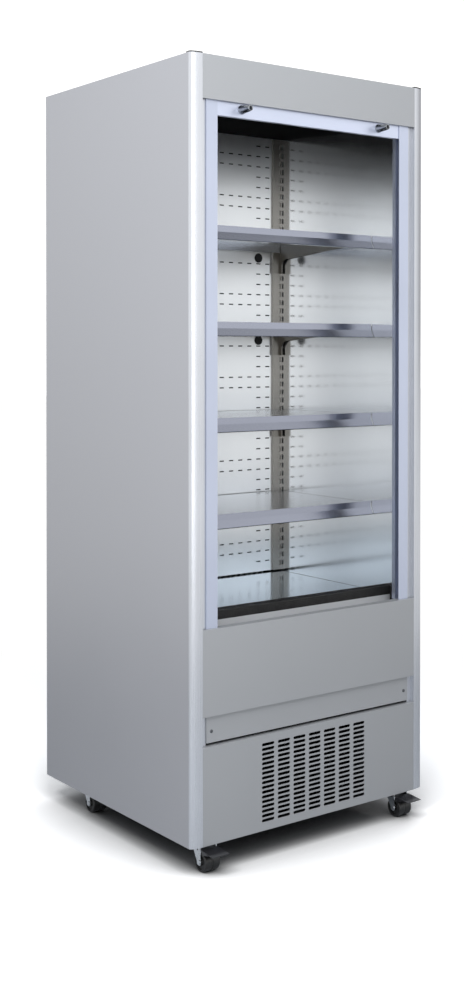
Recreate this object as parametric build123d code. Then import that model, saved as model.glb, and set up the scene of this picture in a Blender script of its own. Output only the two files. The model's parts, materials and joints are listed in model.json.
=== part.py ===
from build123d import *
import math
import os

# Open multideck display fridge on casters, in millimetres.
# While it is built: X to the right seen from the front, Y from the front plane towards the
# back, Z up from the underside of the body. seat() then moves each piece to the part's own
# frame, whose origin is on the floor under the middle of the overall box, front towards -Y.

# ---- driving dimensions: outer body -------------------------------------------------
BODY_W = 780.0            # outside the two side panels
BODY_D = 720.0            # front plane to the back panel
SIDE_WALL = 50.0          # insulated side wall
BACK_WALL = 50.0          # insulated back wall
ROOF_T = 48.0             # insulated roof
FLOOR_T = 50.0            # insulated floor of the cold space
UPSTAND_T = 40.0          # insulated wall behind the lower front panel
SKIN = 1.2                # outer steel skin
FOLD = 1.5                # folded front panels
SEAT = 0.3                # clearance of a piece that only lies on its seat

# ---- driving dimensions: front, from the bottom up ----------------------------------
GRILLE_H = 242.0          # slotted grille panel
GRILLE_GAP = 7.0          # dark gap above it
BAND_H = 66.5             # recessed band with two screws
BAND_TUCK = 12.0          # hidden part of the band behind the lower panel
LOWER_PANEL_H = 213.5     # plain lower panel
OPENING_H = 1293.0        # display opening between lower panel and header
HEADER_H = 108.0          # header panel
RECESS = 8.0              # posts and band stand back from the front plane
PANEL_RETURN = 20.0       # folded edges of the front panels

BAND_Z = GRILLE_H + GRILLE_GAP
LOWER_PANEL_Z = BAND_Z + BAND_H
SILL_Z = LOWER_PANEL_Z + LOWER_PANEL_H
HEADER_Z = SILL_Z + OPENING_H
BODY_TOP = HEADER_Z + HEADER_H

# ---- driving dimensions: corner profiles and blind guides ---------------------------
PROFILE_W = 34.0          # corner profile seen from the front
PROFILE_NOSE = 12.0       # how far its rounded nose runs back on the side
PROFILE_D = 24.0          # its whole depth
PROFILE_WALL = 2.0
NOSE_TURN = 20.0          # degrees of the flat arc before the tight one
CAP_H = 3.0               # plastic cap on top of each corner profile
POST_W = 34.0             # blind guide post seen from the front
POST_D = 26.0
POST_FLANGE = 1.6         # front flange of the guide slot
SLOT_W = 12.8             # guide slot for the ends of the blind bar
SLOT_DEPTH = 20.0

# ---- driving dimensions: cold space -------------------------------------------------
LINER = 1.0               # polished inner side walls
PLENUM_H = 103.0          # air space between floor and deck
DECK_LIFT = 4.0           # deck above the upper edge of the lower panel
REAR_DUCT = 104.0         # air duct between perforated panel and back wall
BACK_PANEL_T = 1.2
BACK_PANEL_LIFT = 4.0     # its lower edge above the deck
TOP_DUCT = 25.0           # air duct above the rear edge of the ceiling
CEILING_FALL = 27.5       # the ceiling falls this much towards the front
CEILING_FRONT_Y = 112.0
CEILING_FLAT = 38.0       # level strip that carries the lamp
CEILING_LIP = 16.0
UPRIGHT_W = 40.0
UPRIGHT_D = 6.0           # stands this far in front of the perforated panel
UPRIGHT_WEB = 2.0
UPRIGHT_TOP_GAP = 2.0     # below the rear edge of the ceiling
HOOK_X = 7.0              # slot column, from the inner side wall
HOOK_SLOT_W = 5.0
HOOK_SLOT_H = 16.0
HOOK_PITCH = 25.0
FIRST_SLOT = 24.5         # first slot above the deck

# ---- driving dimensions: shelves, brackets, deck ------------------------------------
SHELF_COUNT = 4
SHELF_SLOTS = 10          # hook slots from one shelf to the next
FIRST_SHELF_SLOT = 8
SHELF_ABOVE_SLOT = 22.5   # shelf surface above the upper hook's slot
SHELF_SIDE_GAP = 2.0
SHELF_T = 1.5
SHELF_REAR_GAP = 4.0
SHELF_FRONT_Y = 153.0
SHELF_SIDE_H = 28.0
SHELF_REAR_H = 20.0
LIP_UP = 5.0              # lip above the shelf surface
LIP_PLAIN = 12.0          # upright part below the surface
LIP_SLOPE_H = 19.0        # part that leans out for the tickets
LIP_SLOPE_OUT = 9.0
LIP_HEM = 12.0
LIP_HEM_DROP = 2.0
BRACKET_T = 3.0
BRACKET_DROP = 84.0       # lower end of the bracket below the shelf surface
BRACKET_SETBACK = 32.0    # front of the bracket behind the shelf's front
BRACKET_LEG = 12.0        # depth of its leg along the upright
BRACKET_PLATE_W = 27.0
BRACKET_PLATE_H = 66.0
BRACKET_THROAT_R = 24.0
HOOK_H = 10.0
HOOK_NOSE = 5.0
HOOK_NOSE_T = 3.0
DECK_T = 1.5
DECK_FRONT_Y = 100.0
DECK_FRONT_H = 28.0

# ---- driving dimensions: sill, return air grille, top air outlet, lamp --------------
SILL_DROP = 12.0          # sill tray below the edge of the lower panel
SILL_RISER_Y = 66.0
SILL_RISER_H = 17.0
SILL_FLANGE = 6.0
RETURN_H = 23.5
RETURN_D = 32.0
RETURN_WALL = 2.5
RETURN_RIB = 4.0
RETURN_SLOTS = 14
RETURN_END_W = 10.0
HONEYCOMB_Y = 60.0
HONEYCOMB_H = 20.0
HONEYCOMB_CELLS = 20
HONEYCOMB_ROWS = 2
HONEYCOMB_WEB = 3.0
LAMP_END = 59.0           # lamp's end to the inner side wall
LAMP_W = 20.0
LAMP_BASE_H = 8.0
LAMP_R = 8.0
GROMMET_R = 14.0
GROMMET_HOLE_R = 12.5
GROMMET_FLANGE = 2.0
GROMMET_X = 85.0          # from the inner side wall
GROMMET_BELOW = 38.5      # below the shelf surface

# ---- driving dimensions: front grille -----------------------------------------------
GRILLE_COLUMNS = 7
GRILLE_ROWS = 17
GRILLE_PITCH_X = 51.2
GRILLE_PITCH_Z = 12.0
GRILLE_SLOT_L = 40.2
GRILLE_SLOT_H = 7.6
GRILLE_CENTRE_Z = 121.4
SCREW_INSET = 31.0        # band screws, from the corner profile
SCREW_LIFT = 28.0         # above the lower edge of the band
SCREW_R = 2.5
SCREW_HEAD_R = 4.5
SCREW_HEAD_H = 2.0
SCREW_EDGE_R = 1.2
SCREW_L = 12.0

# ---- driving dimensions: night blind ------------------------------------------------
ROLLER_R = 16.0
ROLLER_DROP = 30.0        # roller's axis below the roof
ROLL_T = 4.0              # wound cloth on the roller
ROLLER_PIN_R = 4.0
RUN_FIT = 0.05            # running clearance of shafts and pins, on the radius
BLIND_T = 0.35
BLIND_EDGE = 6.0          # cloth edge to the post
BAR_T = 12.0
BAR_H = 39.0
BAR_WALL = 1.5
BAR_HANG = 35.0           # lower edge of the parked bar below the header
BAR_END_GAP = 1.0
KNOB_INSET = 75.5         # from the post
KNOB_Z = 20.0             # above the lower edge of the bar
KNOB_BASE_R = 11.5
KNOB_TIP_R = 7.5
KNOB_L = 38.0
KNOB_HOLE_R = 4.2
KNOB_HOLE_L = 14.0
ROLLER_BRACKET_T = 2.0
ROLLER_BRACKET_W = 26.0
ROLLER_BRACKET_TAB = 20.0

# ---- driving dimensions: casters ----------------------------------------------------
CASTER_H = 70.0
CASTER_INSET = 64.0       # swivel axis, from the side of the body
CASTER_FRONT_Y = 46.0
CASTER_REAR_INSET = 145.0  # swivel axis, from the back of the body
CASTER_PLATE = 60.0
CASTER_PLATE_R = 5.0
CASTER_PLATE_T = 3.0
RACE_R = 18.0
RACE_H = 3.0
KINGPIN_R = 6.0
KINGPIN_HEAD_R = 10.0
KINGPIN_HEAD_H = 3.0
WHEEL_R = 25.0
WHEEL_W = 44.0
WHEEL_GROOVE = 2.0
WHEEL_DISH_R = 18.0
WHEEL_DISH = 3.0
WHEEL_EDGE_R = 3.0
AXLE_R = 4.0
AXLE_NUT_R = 6.0
AXLE_NUT_H = 2.0
TRAIL = 22.0              # axle in front of the swivel axis
FORK_T = 2.5
FORK_GAP = 0.8
FORK_DISC_R = 22.0
FORK_END_R = 8.0
PEDAL_W = 50.0
PEDAL_T = 2.0
PEDAL_NECK = 43.0
PEDAL_REACH = 80.0        # tip in front of the swivel axis
PEDAL_PIVOT_Y = 16.0
PEDAL_PIVOT_Z = 14.5      # below the body
PEDAL_PIN_R = 2.5
PEDAL_EYE_R = 4.0
PEDAL_LAP = 1.0           # flange into its tread plate
PEDAL_CORNER_L = 4.0
PEDAL_CORNER_H = 2.0
PEDAL_SHOULDER = 33.0
PEDAL_FLANGE_L = 29.0
PEDAL_FLANGE_H = 10.0
PEDAL_SLOPE = 4.0

# ---- driving dimensions: machine compartment ----------------------------------------
BASE_T = 2.5
BASE_FLANGE = 25.0
BASE_FRONT_Y = 24.0
REAR_COVER_GAP = 4.0      # below the outer back
REAR_COVER_INSET = 2.0    # stands back from the rear face
REAR_COVER_T = 1.5
REAR_COVER_FOLD = 12.0
LOUVRE_COUNT = 12
LOUVRE_PITCH = 16.0
LOUVRE_L = 400.0
LOUVRE_H = 7.0
LOUVRE_Z = 110.0
COIL_W = 350.0
COIL_D = 48.0
COIL_H = 220.0
COIL_Y = 40.0
COIL_FOOT = 10.0
COIL_FINS = 24
SHROUD_Y = COIL_Y + COIL_D
FIN_DEPTH = 20.0
FIN_SHARE = 0.4           # fin thickness as a share of the fin pitch
SHROUD_T = 2.0
SHROUD_RING_R = 102.0
SHROUD_RING_D = 30.0
FAN_R = 96.0
FAN_TIP_GAP = 4.0
FAN_DEPTH = 18.0
HUB_R = 20.0
FAN_BLADES = 5
BLADE_T = 2.0
BLADE_PITCH = 28.0        # degrees
SHAFT_R = 3.0
SPIDER_W = 12.0
SPIDER_T = 3.0
MOTOR_R = 32.0
MOTOR_L = 48.0
COMPRESSOR_R = 78.0
COMPRESSOR_H = 165.0
COMPRESSOR_X = -150.0
COMPRESSOR_Y = 330.0
COMPRESSOR_DOME_R = 39.0
COMPRESSOR_SEAM = 4.0     # welded seam stands out this much
COMPRESSOR_SEAM_Z = 74.25
COMPRESSOR_SEAM_H = 8.25
COMPRESSOR_FOOT = 105.0   # half length of its foot plate
COMPRESSOR_FOOT_T = 3.0
FOOT_GROMMET_R = 12.0
FOOT_GROMMET_H = 12.0
TRAY_X = 120.0
TRAY_Y = 480.0
TRAY_W = 300.0
TRAY_L = 180.0
TRAY_H = 50.0
TRAY_WALL = 2.0
BOX_INSET = 20.0          # from the inner side wall
BOX_Y = 240.0
BOX_W = 120.0
BOX_L = 150.0
BOX_H = 170.0
BOX_CORNER_R = 4.0
CORD_GROMMET_INSET = 90.0
CORD_GROMMET_Z = 60.0
PIPE_R = 4.0
PIPE_BEND = 16.0
DISCHARGE_BEYOND = 25.0   # beyond the end of the condenser coil
DISCHARGE_X = COIL_W / 2 + DISCHARGE_BEYOND   # left of the middle
DISCHARGE_Z = 70.0
DISCHARGE_Y = 215.0
RISER_INSET = 19.0        # risers beside the evaporator, from the inner side wall
LIQUID_PIPE_BACK = 20.0   # behind the evaporator's front
LIQUID_PIPE_Z = 200.0
LIQUID_PIPE_RISE = 42.0   # above the insulated floor
SUCTION_PIPE_BACK = 50.0
SUCTION_PIPE_Z = 130.0
SUCTION_PIPE_RISE = 168.0

# ---- driving dimensions: evaporator and its fans ------------------------------------
EVAP_END = 39.0           # its ends to the inner side walls
EVAP_D = 70.0
EVAP_H = 210.0
EVAP_GAP = 15.0           # its back to the back wall
EVAP_FINS = 30
FAN_PLATE_BEFORE = 96.0   # in front of the perforated panel
FAN_PLATE_T = 2.0
FAN_PLATE_GAP = 5.5       # below the deck
SMALL_FAN_X = 150.0
SMALL_FAN_R = 41.0
SMALL_FAN_GAP = 3.0
SMALL_FAN_DEPTH = 12.0
SMALL_HUB_R = 12.0
SMALL_MOTOR_R = 18.0
SMALL_MOTOR_L = 30.0
SMALL_SPIDER_D = 16.0     # spider behind the fan plate

# ---- worked out from the driving dimensions -----------------------------------------
HALF_W = BODY_W / 2
INNER_X = HALF_W - SIDE_WALL              # inner face of the insulated side wall
LINER_X = INNER_X - LINER                 # inner face of the polished liner
FACE_X = HALF_W - PROFILE_W               # front panels end at the corner profile
POST_X = INNER_X - POST_W                 # inner edge of the guide post
POST_BACK_Y = RECESS + POST_D
SLOT_Y = RECESS + POST_FLANGE
BACK_Y = BODY_D - BACK_WALL
BACK_PANEL_Y = BACK_Y - REAR_DUCT         # front face of the perforated panel
ROOF_Z = BODY_TOP - ROOF_T
CEILING_REAR_Z = ROOF_Z - TOP_DUCT
DECK_Z = SILL_Z + DECK_LIFT
FLOOR_TOP = DECK_Z - PLENUM_H
FLOOR_Z = FLOOR_TOP - FLOOR_T             # underside of the insulated floor
UPRIGHT_Y = BACK_PANEL_Y - UPRIGHT_D
SHELF_X = LINER_X - SHELF_SIDE_GAP
SHELF_REAR_Y = UPRIGHT_Y - SHELF_REAR_GAP
SLOT_X = LINER_X - HOOK_X
SCREW_Z = BAND_Z + SCREW_LIFT
REAR_COVER_Y = BODY_D - REAR_COVER_INSET
REAR_COVER_H = FLOOR_Z - REAR_COVER_GAP
CASTER_X = HALF_W - CASTER_INSET
CASTER_REAR_Y = BODY_D - CASTER_REAR_INSET
BOX_X = INNER_X - BOX_INSET - BOX_W / 2
CORD_GROMMET_X = INNER_X - CORD_GROMMET_INSET
RISER_X = LINER_X - RISER_INSET
LAMP_L = (LINER_X - LAMP_END) * 2
EVAP_W = (LINER_X - EVAP_END) * 2
EVAP_Y = BACK_Y - EVAP_GAP - EVAP_D
LIQUID_PIPE_Y = EVAP_Y + LIQUID_PIPE_BACK
SUCTION_PIPE_Y = EVAP_Y + SUCTION_PIPE_BACK
FAN_PLATE_Y = BACK_PANEL_Y - FAN_PLATE_BEFORE
FAN_PLATE_H = PLENUM_H - DECK_T - FAN_PLATE_GAP
KNOB_X = POST_X - KNOB_INSET
ROLLER_Z = ROOF_Z - ROLLER_DROP
BAR_PARK_Z = HEADER_Z - BAR_HANG
CEILING_Z = CEILING_REAR_Z - CEILING_FALL
BAR_Y = SLOT_Y + (SLOT_W - BAR_T) / 2     # front face of the blind bar
ROLL_R = ROLLER_R + ROLL_T
ROLLER_Y = BAR_Y + BAR_T / 2 + ROLL_R
PEDAL_TIP_Y = CASTER_FRONT_Y - PEDAL_REACH
MIDDLE_Y = (PEDAL_TIP_Y + BODY_D) / 2


def seat(shape):
    """Move a piece from the building frame to the part's own frame."""
    return Pos(0, -MIDDLE_Y, CASTER_H) * shape


def block(x0, x1, y0, y1, z0, z1):
    """Box between two corners."""
    return Pos((x0 + x1) / 2, (y0 + y1) / 2, (z0 + z1) / 2) * Box(x1 - x0, y1 - y0, z1 - z0)


def both_sides(shape):
    """The right-hand piece and its mirror image."""
    return [shape, mirror(shape, about=Plane.YZ)]


def along_x(points, x0, x1):
    """Closed outline of (y, z) points, extruded from x0 to x1."""
    outline = make_face(Polyline([(x0, y, z) for y, z in points], close=True))
    return extrude(outline, amount=x1 - x0, dir=(1, 0, 0))


def up_z(points, z0, z1):
    """Closed outline of (x, y) points, extruded from z0 to z1."""
    outline = make_face(Polyline([(x, y, z0) for x, y in points], close=True))
    return extrude(outline, amount=z1 - z0, dir=(0, 0, 1))


def folded_sheet(path, thickness, x0, x1):
    """Sheet whose outer face follows the (y, z) path, its thickness to the right of the path."""
    inner = []
    for i, (y, z) in enumerate(path):
        before = path[max(i - 1, 0)]
        after = path[min(i + 1, len(path) - 1)]
        run_in = (y - before[0], z - before[1]) if i else (after[0] - y, after[1] - z)
        run_out = (after[0] - y, after[1] - z) if i < len(path) - 1 else run_in
        n_in = (run_in[1] / math.hypot(*run_in), -run_in[0] / math.hypot(*run_in))
        n_out = (run_out[1] / math.hypot(*run_out), -run_out[0] / math.hypot(*run_out))
        mitre = thickness / (1 + n_in[0] * n_out[0] + n_in[1] * n_out[1])
        inner.append((y + (n_in[0] + n_out[0]) * mitre, z + (n_in[1] + n_out[1]) * mitre))
    return along_x(list(path) + inner[::-1], x0, x1)


def rod_x(x0, x1, y, z, radius):
    """Round bar along X."""
    return Pos((x0 + x1) / 2, y, z) * Rot(0, 90, 0) * Cylinder(radius, x1 - x0)


def rod_y(x, y0, y1, z, radius):
    """Round bar along Y."""
    return Pos(x, (y0 + y1) / 2, z) * Rot(90, 0, 0) * Cylinder(radius, y1 - y0)


def rod_z(x, y, z0, z1, radius):
    """Round bar along Z."""
    return Pos(x, y, (z0 + z1) / 2) * Cylinder(radius, z1 - z0)


# ---- insulated body -----------------------------------------------------------------
def side_skin():
    """Right outer side: a steel pan, open inwards, with a lip that meets the corner profile."""
    pan = block(INNER_X, HALF_W, PROFILE_D, BODY_D, 0, BODY_TOP)
    pan -= block(INNER_X, HALF_W - SKIN, PROFILE_D + SKIN, BODY_D - SKIN, SKIN, BODY_TOP - SKIN)
    return pan + block(HALF_W - SKIN, HALF_W, PROFILE_NOSE, PROFILE_D, 0, BODY_TOP)


def back_skin():
    """Outer back: a steel pan, open inwards."""
    pan = block(-INNER_X, INNER_X, BACK_Y, BODY_D, FLOOR_Z, ROOF_Z)
    half = INNER_X - SKIN
    return pan - block(-half, half, BACK_Y, BODY_D - SKIN, FLOOR_Z + SKIN, ROOF_Z - SKIN)


def roof_skin():
    """Outer roof: a steel pan, open downwards."""
    pan = block(-INNER_X, INNER_X, PROFILE_D, BODY_D, ROOF_Z, BODY_TOP)
    half = INNER_X - SKIN
    return pan - block(-half, half, PROFILE_D + SKIN, BODY_D - SKIN, ROOF_Z, BODY_TOP - SKIN)


def insulation_foam():
    """Foam slabs: two sides, back, roof, and the floor with its front upstand."""
    front, rear, top = PROFILE_D + SKIN, BODY_D - SKIN, BODY_TOP - SKIN
    half = INNER_X - SKIN
    side = block(INNER_X, HALF_W - SKIN, front, rear, FLOOR_Z, top)
    back = block(-half, half, BACK_Y, rear, FLOOR_Z + SKIN, ROOF_Z - SKIN)
    roof = block(-half, half, front, rear, ROOF_Z, top)
    sill_under = SILL_Z - SILL_DROP - FOLD
    floor = block(-INNER_X, INNER_X, PROFILE_D, BACK_Y, FLOOR_Z, FLOOR_TOP)
    floor += block(-LINER_X, LINER_X, PROFILE_D, PROFILE_D + UPSTAND_T, FLOOR_TOP, sill_under)
    for y in (LIQUID_PIPE_Y, SUCTION_PIPE_Y):
        floor -= rod_z(-RISER_X, y, FLOOR_Z, FLOOR_TOP, PIPE_R + SEAT)
    return both_sides(side) + [back, roof, floor]


def nose_radii():
    """Radii of the flat and the tight arc that round the corner profile's nose."""
    turn = math.radians(NOSE_TURN)
    s, c = math.sin(turn), math.cos(turn)
    tight = (PROFILE_NOSE - PROFILE_W * (1 - c) / s) / (c - (1 - s) * (1 - c) / s)
    flat = (PROFILE_W - tight * (1 - s)) / s
    return flat, tight


def profile_outline():
    """Section of the right corner profile, seen from above."""
    flat, tight = nose_radii()
    nose = JernArc((FACE_X, 0), (1, 0), flat, NOSE_TURN)
    nose += JernArc(nose @ 1, nose % 1, tight, 90 - NOSE_TURN)
    rebate = HALF_W - SKIN
    back = Polyline((HALF_W, PROFILE_NOSE), (rebate, PROFILE_NOSE), (rebate, PROFILE_D),
                    (FACE_X, PROFILE_D), (FACE_X, 0))
    return make_face(nose + back)


def corner_profiles():
    """Two hollow aluminium corner extrusions with rounded noses."""
    outline = profile_outline()
    w = PROFILE_WALL
    hollow = block(FACE_X + w, HALF_W - SKIN - w, PROFILE_NOSE / 2 + w, PROFILE_D - w, 0, BODY_TOP)
    return both_sides(extrude(outline, amount=BODY_TOP) - hollow)


def profile_end_caps():
    """Dark plastic caps on top of the corner profiles."""
    cap = Pos(0, 0, BODY_TOP) * extrude(profile_outline(), amount=CAP_H)
    return both_sides(cap)


# ---- front panels -------------------------------------------------------------------
def header_panel():
    """Folded header: top flange up to the roof, front face, bottom flange onto the posts."""
    path = [(PROFILE_D, BODY_TOP), (0, BODY_TOP), (0, HEADER_Z), (RECESS, HEADER_Z)]
    return folded_sheet(path[::-1], FOLD, -FACE_X + SEAT, FACE_X - SEAT)


def lower_front_panel():
    """Folded plain panel under the opening, with flanges at top and bottom."""
    path = [(RECESS, LOWER_PANEL_Z), (0, LOWER_PANEL_Z), (0, SILL_Z), (PROFILE_D, SILL_Z)]
    return folded_sheet(path, FOLD, -FACE_X + SEAT, FACE_X - SEAT)


def screw_band():
    """Recessed band with returns at its ends and two screw holes."""
    half = INNER_X - SEAT
    top = LOWER_PANEL_Z + BAND_TUCK
    band = block(-half, half, RECESS, RECESS + FOLD, BAND_Z, top)
    for end in (-half, half - FOLD):
        band += block(end, end + FOLD, RECESS, PROFILE_D, BAND_Z, top)
    for x in (-screw_x(), screw_x()):
        band -= rod_y(x, 0, PROFILE_D, SCREW_Z, SCREW_R + SEAT)
    return band


def screw_x():
    """Distance of the band screws from the middle."""
    return FACE_X - SCREW_INSET


def band_screws():
    """Two pan-head screws of the band."""
    screws = []
    for x in (-screw_x(), screw_x()):
        head = rod_y(x, RECESS - SCREW_HEAD_H, RECESS, SCREW_Z, SCREW_HEAD_R)
        head = fillet(head.edges().sort_by(Axis.Y)[0], SCREW_EDGE_R)
        screws.append(head + rod_y(x, RECESS, RECESS + SCREW_L, SCREW_Z, SCREW_R))
    return screws


def grille_panel():
    """Folded grille panel with a field of rounded slots in columns and rows."""
    half = FACE_X - SEAT
    panel = block(-half, half, 0, PANEL_RETURN, 0, GRILLE_H)
    panel -= block(-half + FOLD, half - FOLD, FOLD, PANEL_RETURN, FOLD, GRILLE_H - FOLD)
    slot = SlotOverall(GRILLE_SLOT_L, GRILLE_SLOT_H)
    field = Sketch() + [
        Pos(x, z) * slot
        for x in spread(GRILLE_COLUMNS, GRILLE_PITCH_X)
        for z in spread(GRILLE_ROWS, GRILLE_PITCH_Z)
    ]
    cutters = extrude(Plane.XZ * Pos(0, GRILLE_CENTRE_Z) * field, amount=FOLD, both=True)
    return panel - cutters


def spread(count, pitch):
    """Places of count things at a pitch, about zero."""
    return [(i - (count - 1) / 2) * pitch for i in range(count)]


def guide_posts():
    """Two extruded posts beside the opening, with the blind's guide slots."""
    rear = SLOT_Y + SLOT_W
    section = [(INNER_X, RECESS), (POST_X, RECESS), (POST_X, SLOT_Y), (POST_X + SLOT_DEPTH, SLOT_Y),
               (POST_X + SLOT_DEPTH, rear), (POST_X, rear), (POST_X, POST_BACK_Y), (INNER_X, POST_BACK_Y)]
    post = up_z(section, SILL_Z, ROOF_Z)
    w = POST_FLANGE
    post -= block(POST_X + w, INNER_X - w, rear + w, POST_BACK_Y - w, SILL_Z, ROOF_Z)
    return both_sides(post)


# ---- cold space ---------------------------------------------------------------------
def side_liners():
    """Polished inner side walls."""
    return both_sides(block(LINER_X, INNER_X, POST_BACK_Y + SEAT, BACK_Y, FLOOR_TOP, ROOF_Z))


def shelf_z(index):
    """Height of a shelf's surface, counted from the lowest shelf."""
    slot = FIRST_SHELF_SLOT + SHELF_SLOTS * index
    return DECK_Z + FIRST_SLOT + HOOK_PITCH * slot + SHELF_ABOVE_SLOT


def grommet_places():
    """(x, z) of the cable grommets in the back panel, two below each shelf."""
    x = LINER_X - GROMMET_X
    return [(side * x, shelf_z(i) - GROMMET_BELOW) for i in range(SHELF_COUNT) for side in (-1, 1)]


def perforated_back():
    """Sheet in front of the air duct, with holes for the cable grommets."""
    low = DECK_Z + BACK_PANEL_LIFT
    sheet = block(-LINER_X, LINER_X, BACK_PANEL_Y, BACK_PANEL_Y + BACK_PANEL_T, low, CEILING_REAR_Z)
    for x, z in grommet_places():
        sheet -= rod_y(x, BACK_PANEL_Y - 1, BACK_PANEL_Y + BACK_PANEL_T + 1, z, GROMMET_HOLE_R)
    return sheet


def cable_grommets():
    """Black grommets in the back panel, and the one for the supply cord in the rear cover."""
    places = [(x, BACK_PANEL_Y, z, -1) for x, z in grommet_places()]
    places.append((CORD_GROMMET_X, REAR_COVER_Y, CORD_GROMMET_Z, 1))
    grommets = []
    for x, y, z, way in places:
        wall = BACK_PANEL_T if way < 0 else -REAR_COVER_T
        ends = sorted((y, y + way * GROMMET_FLANGE))
        flange = rod_y(x, ends[0], ends[1], z, GROMMET_R)
        ends = sorted((y, y + wall))
        grommets.append(flange + rod_y(x, ends[0], ends[1], z, GROMMET_HOLE_R - RUN_FIT))
    return grommets


def slot_places():
    """Heights of the upright's hook slots."""
    low = DECK_Z + FIRST_SLOT
    count = int((CEILING_REAR_Z - HOOK_PITCH - low) // HOOK_PITCH) + 1
    return [low + HOOK_PITCH * i for i in range(count)]


def uprights():
    """Two slotted channels in the rear corners, open towards the back panel."""
    x0 = LINER_X - UPRIGHT_W
    low = DECK_Z + BACK_PANEL_LIFT
    top = CEILING_REAR_Z - UPRIGHT_TOP_GAP
    post = block(x0, LINER_X, UPRIGHT_Y, BACK_PANEL_Y, low, top)
    x1 = LINER_X - UPRIGHT_WEB / 2
    post -= block(x0 + UPRIGHT_WEB, x1, UPRIGHT_Y + UPRIGHT_WEB, BACK_PANEL_Y, low, top)
    hole = Box(HOOK_SLOT_W, UPRIGHT_WEB * 3, HOOK_SLOT_H)
    post -= [Pos(SLOT_X, UPRIGHT_Y, z) * hole for z in slot_places()]
    return both_sides(post)


def ceiling_panel():
    """Sheet under the top air duct, falling to a level strip and a lip at the front."""
    flat_y = CEILING_FRONT_Y + CEILING_FLAT
    path = [(CEILING_FRONT_Y, CEILING_Z + CEILING_LIP), (CEILING_FRONT_Y, CEILING_Z),
            (flat_y, CEILING_Z), (BACK_PANEL_Y, CEILING_REAR_Z)]
    return folded_sheet(path[::-1], SKIN, -LINER_X, LINER_X)


def air_honeycomb():
    """Black grid through which the cold air curtain falls."""
    half = LINER_X - SEAT
    grid = block(-half, half, HONEYCOMB_Y, CEILING_FRONT_Y, CEILING_Z - RECESS,
                 CEILING_Z - RECESS + HONEYCOMB_H)
    pitch_x = (half * 2 - HONEYCOMB_WEB) / HONEYCOMB_CELLS
    pitch_y = (CEILING_FRONT_Y - HONEYCOMB_Y - HONEYCOMB_WEB) / HONEYCOMB_ROWS
    cell = Box(pitch_x - HONEYCOMB_WEB, pitch_y - HONEYCOMB_WEB, HONEYCOMB_H * 3)
    middle = (HONEYCOMB_Y + CEILING_FRONT_Y) / 2
    return grid - [
        Pos(x, middle + y, CEILING_Z) * cell
        for x in spread(HONEYCOMB_CELLS, pitch_x)
        for y in spread(HONEYCOMB_ROWS, pitch_y)
    ]


def led_lamp():
    """Lamp under the front of the ceiling: flat base and round diffuser."""
    y = CEILING_FRONT_Y + CEILING_FLAT / 2
    top = CEILING_Z
    base = block(-LAMP_L / 2, LAMP_L / 2, y - LAMP_W / 2, y + LAMP_W / 2, top - LAMP_BASE_H, top)
    return base + rod_x(-LAMP_L / 2, LAMP_L / 2, y, top - LAMP_BASE_H, LAMP_R)


def front_sill():
    """Folded tray between the lower panel and the return air grille."""
    low = SILL_Z - SILL_DROP
    top = low + SILL_RISER_H
    path = [(SILL_RISER_Y + SILL_FLANGE, top), (SILL_RISER_Y, top),
            (SILL_RISER_Y, low), (PROFILE_D + SEAT, low)]
    return folded_sheet(path[::-1], FOLD, -LINER_X + SEAT, LINER_X - SEAT)


def return_air_grille():
    """Black ribbed rail at the deck's front edge, slotted on top, with end tabs."""
    low = SILL_Z - SILL_DROP + SILL_RISER_H
    top = low + RETURN_H
    y0, y1 = SILL_RISER_Y, SILL_RISER_Y + RETURN_D
    half = LINER_X - SEAT
    front = [(y0, low)]
    rib = low + RETURN_RIB / 2
    while rib + RETURN_RIB < top:
        front += [(y0, rib), (y0 + 1, rib + 1), (y0 + 1, rib + RETURN_RIB - 2), (y0, rib + RETURN_RIB - 1)]
        rib += RETURN_RIB
    front += [(y0, top), (y1, top), (y1, top - RETURN_WALL * 2), (y1 - RETURN_WALL, top - RETURN_WALL * 2),
              (y1 - RETURN_WALL, top - RETURN_WALL), (y0 + RETURN_WALL, top - RETURN_WALL),
              (y0 + RETURN_WALL, low)]
    rail = along_x(front, -half, half)
    pitch = half * 2 / RETURN_SLOTS
    hole = Box(pitch - RETURN_RIB, RETURN_RIB * 1.5, RETURN_WALL * 3)
    for y in spread(3, RETURN_RIB * 2.2):
        rail -= [Pos(x, (y0 + y1) / 2 + y, top) * hole for x in spread(RETURN_SLOTS, pitch)]
    tab_low = SILL_Z - SILL_DROP
    for x in (-half, half - RETURN_END_W):
        rail += block(x, x + RETURN_END_W, y0 - RETURN_RIB, y0, tab_low, top)
    return rail


# ---- shelves ------------------------------------------------------------------------
def shelf(index):
    """Folded steel shelf: plate, side and rear flanges, and a leaning ticket lip."""
    z = shelf_z(index)
    y0, y1 = SHELF_FRONT_Y, SHELF_REAR_Y
    tray = block(-SHELF_X, SHELF_X, y0, y1, z - SHELF_T, z)
    for x in (-SHELF_X, SHELF_X - SHELF_T):
        tray += block(x, x + SHELF_T, y0 + LIP_HEM, y1, z - SHELF_SIDE_H, z)
    rear_half = SLOT_X - BRACKET_T / 2 - SHELF_SIDE_GAP
    tray += block(-rear_half, rear_half, y1 - SHELF_T, y1, z - SHELF_REAR_H, z)
    foot = z - LIP_PLAIN - LIP_SLOPE_H
    lip = [(y0, z + LIP_UP), (y0, z - LIP_PLAIN), (y0 - LIP_SLOPE_OUT, foot),
           (y0 - LIP_SLOPE_OUT + LIP_HEM_DROP, foot - LIP_HEM_DROP),
           (y0 - LIP_SLOPE_OUT + LIP_HEM_DROP + LIP_HEM, foot - LIP_HEM_DROP)]
    return tray + folded_sheet(lip[::-1], SHELF_T, -SHELF_X, SHELF_X)


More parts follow.
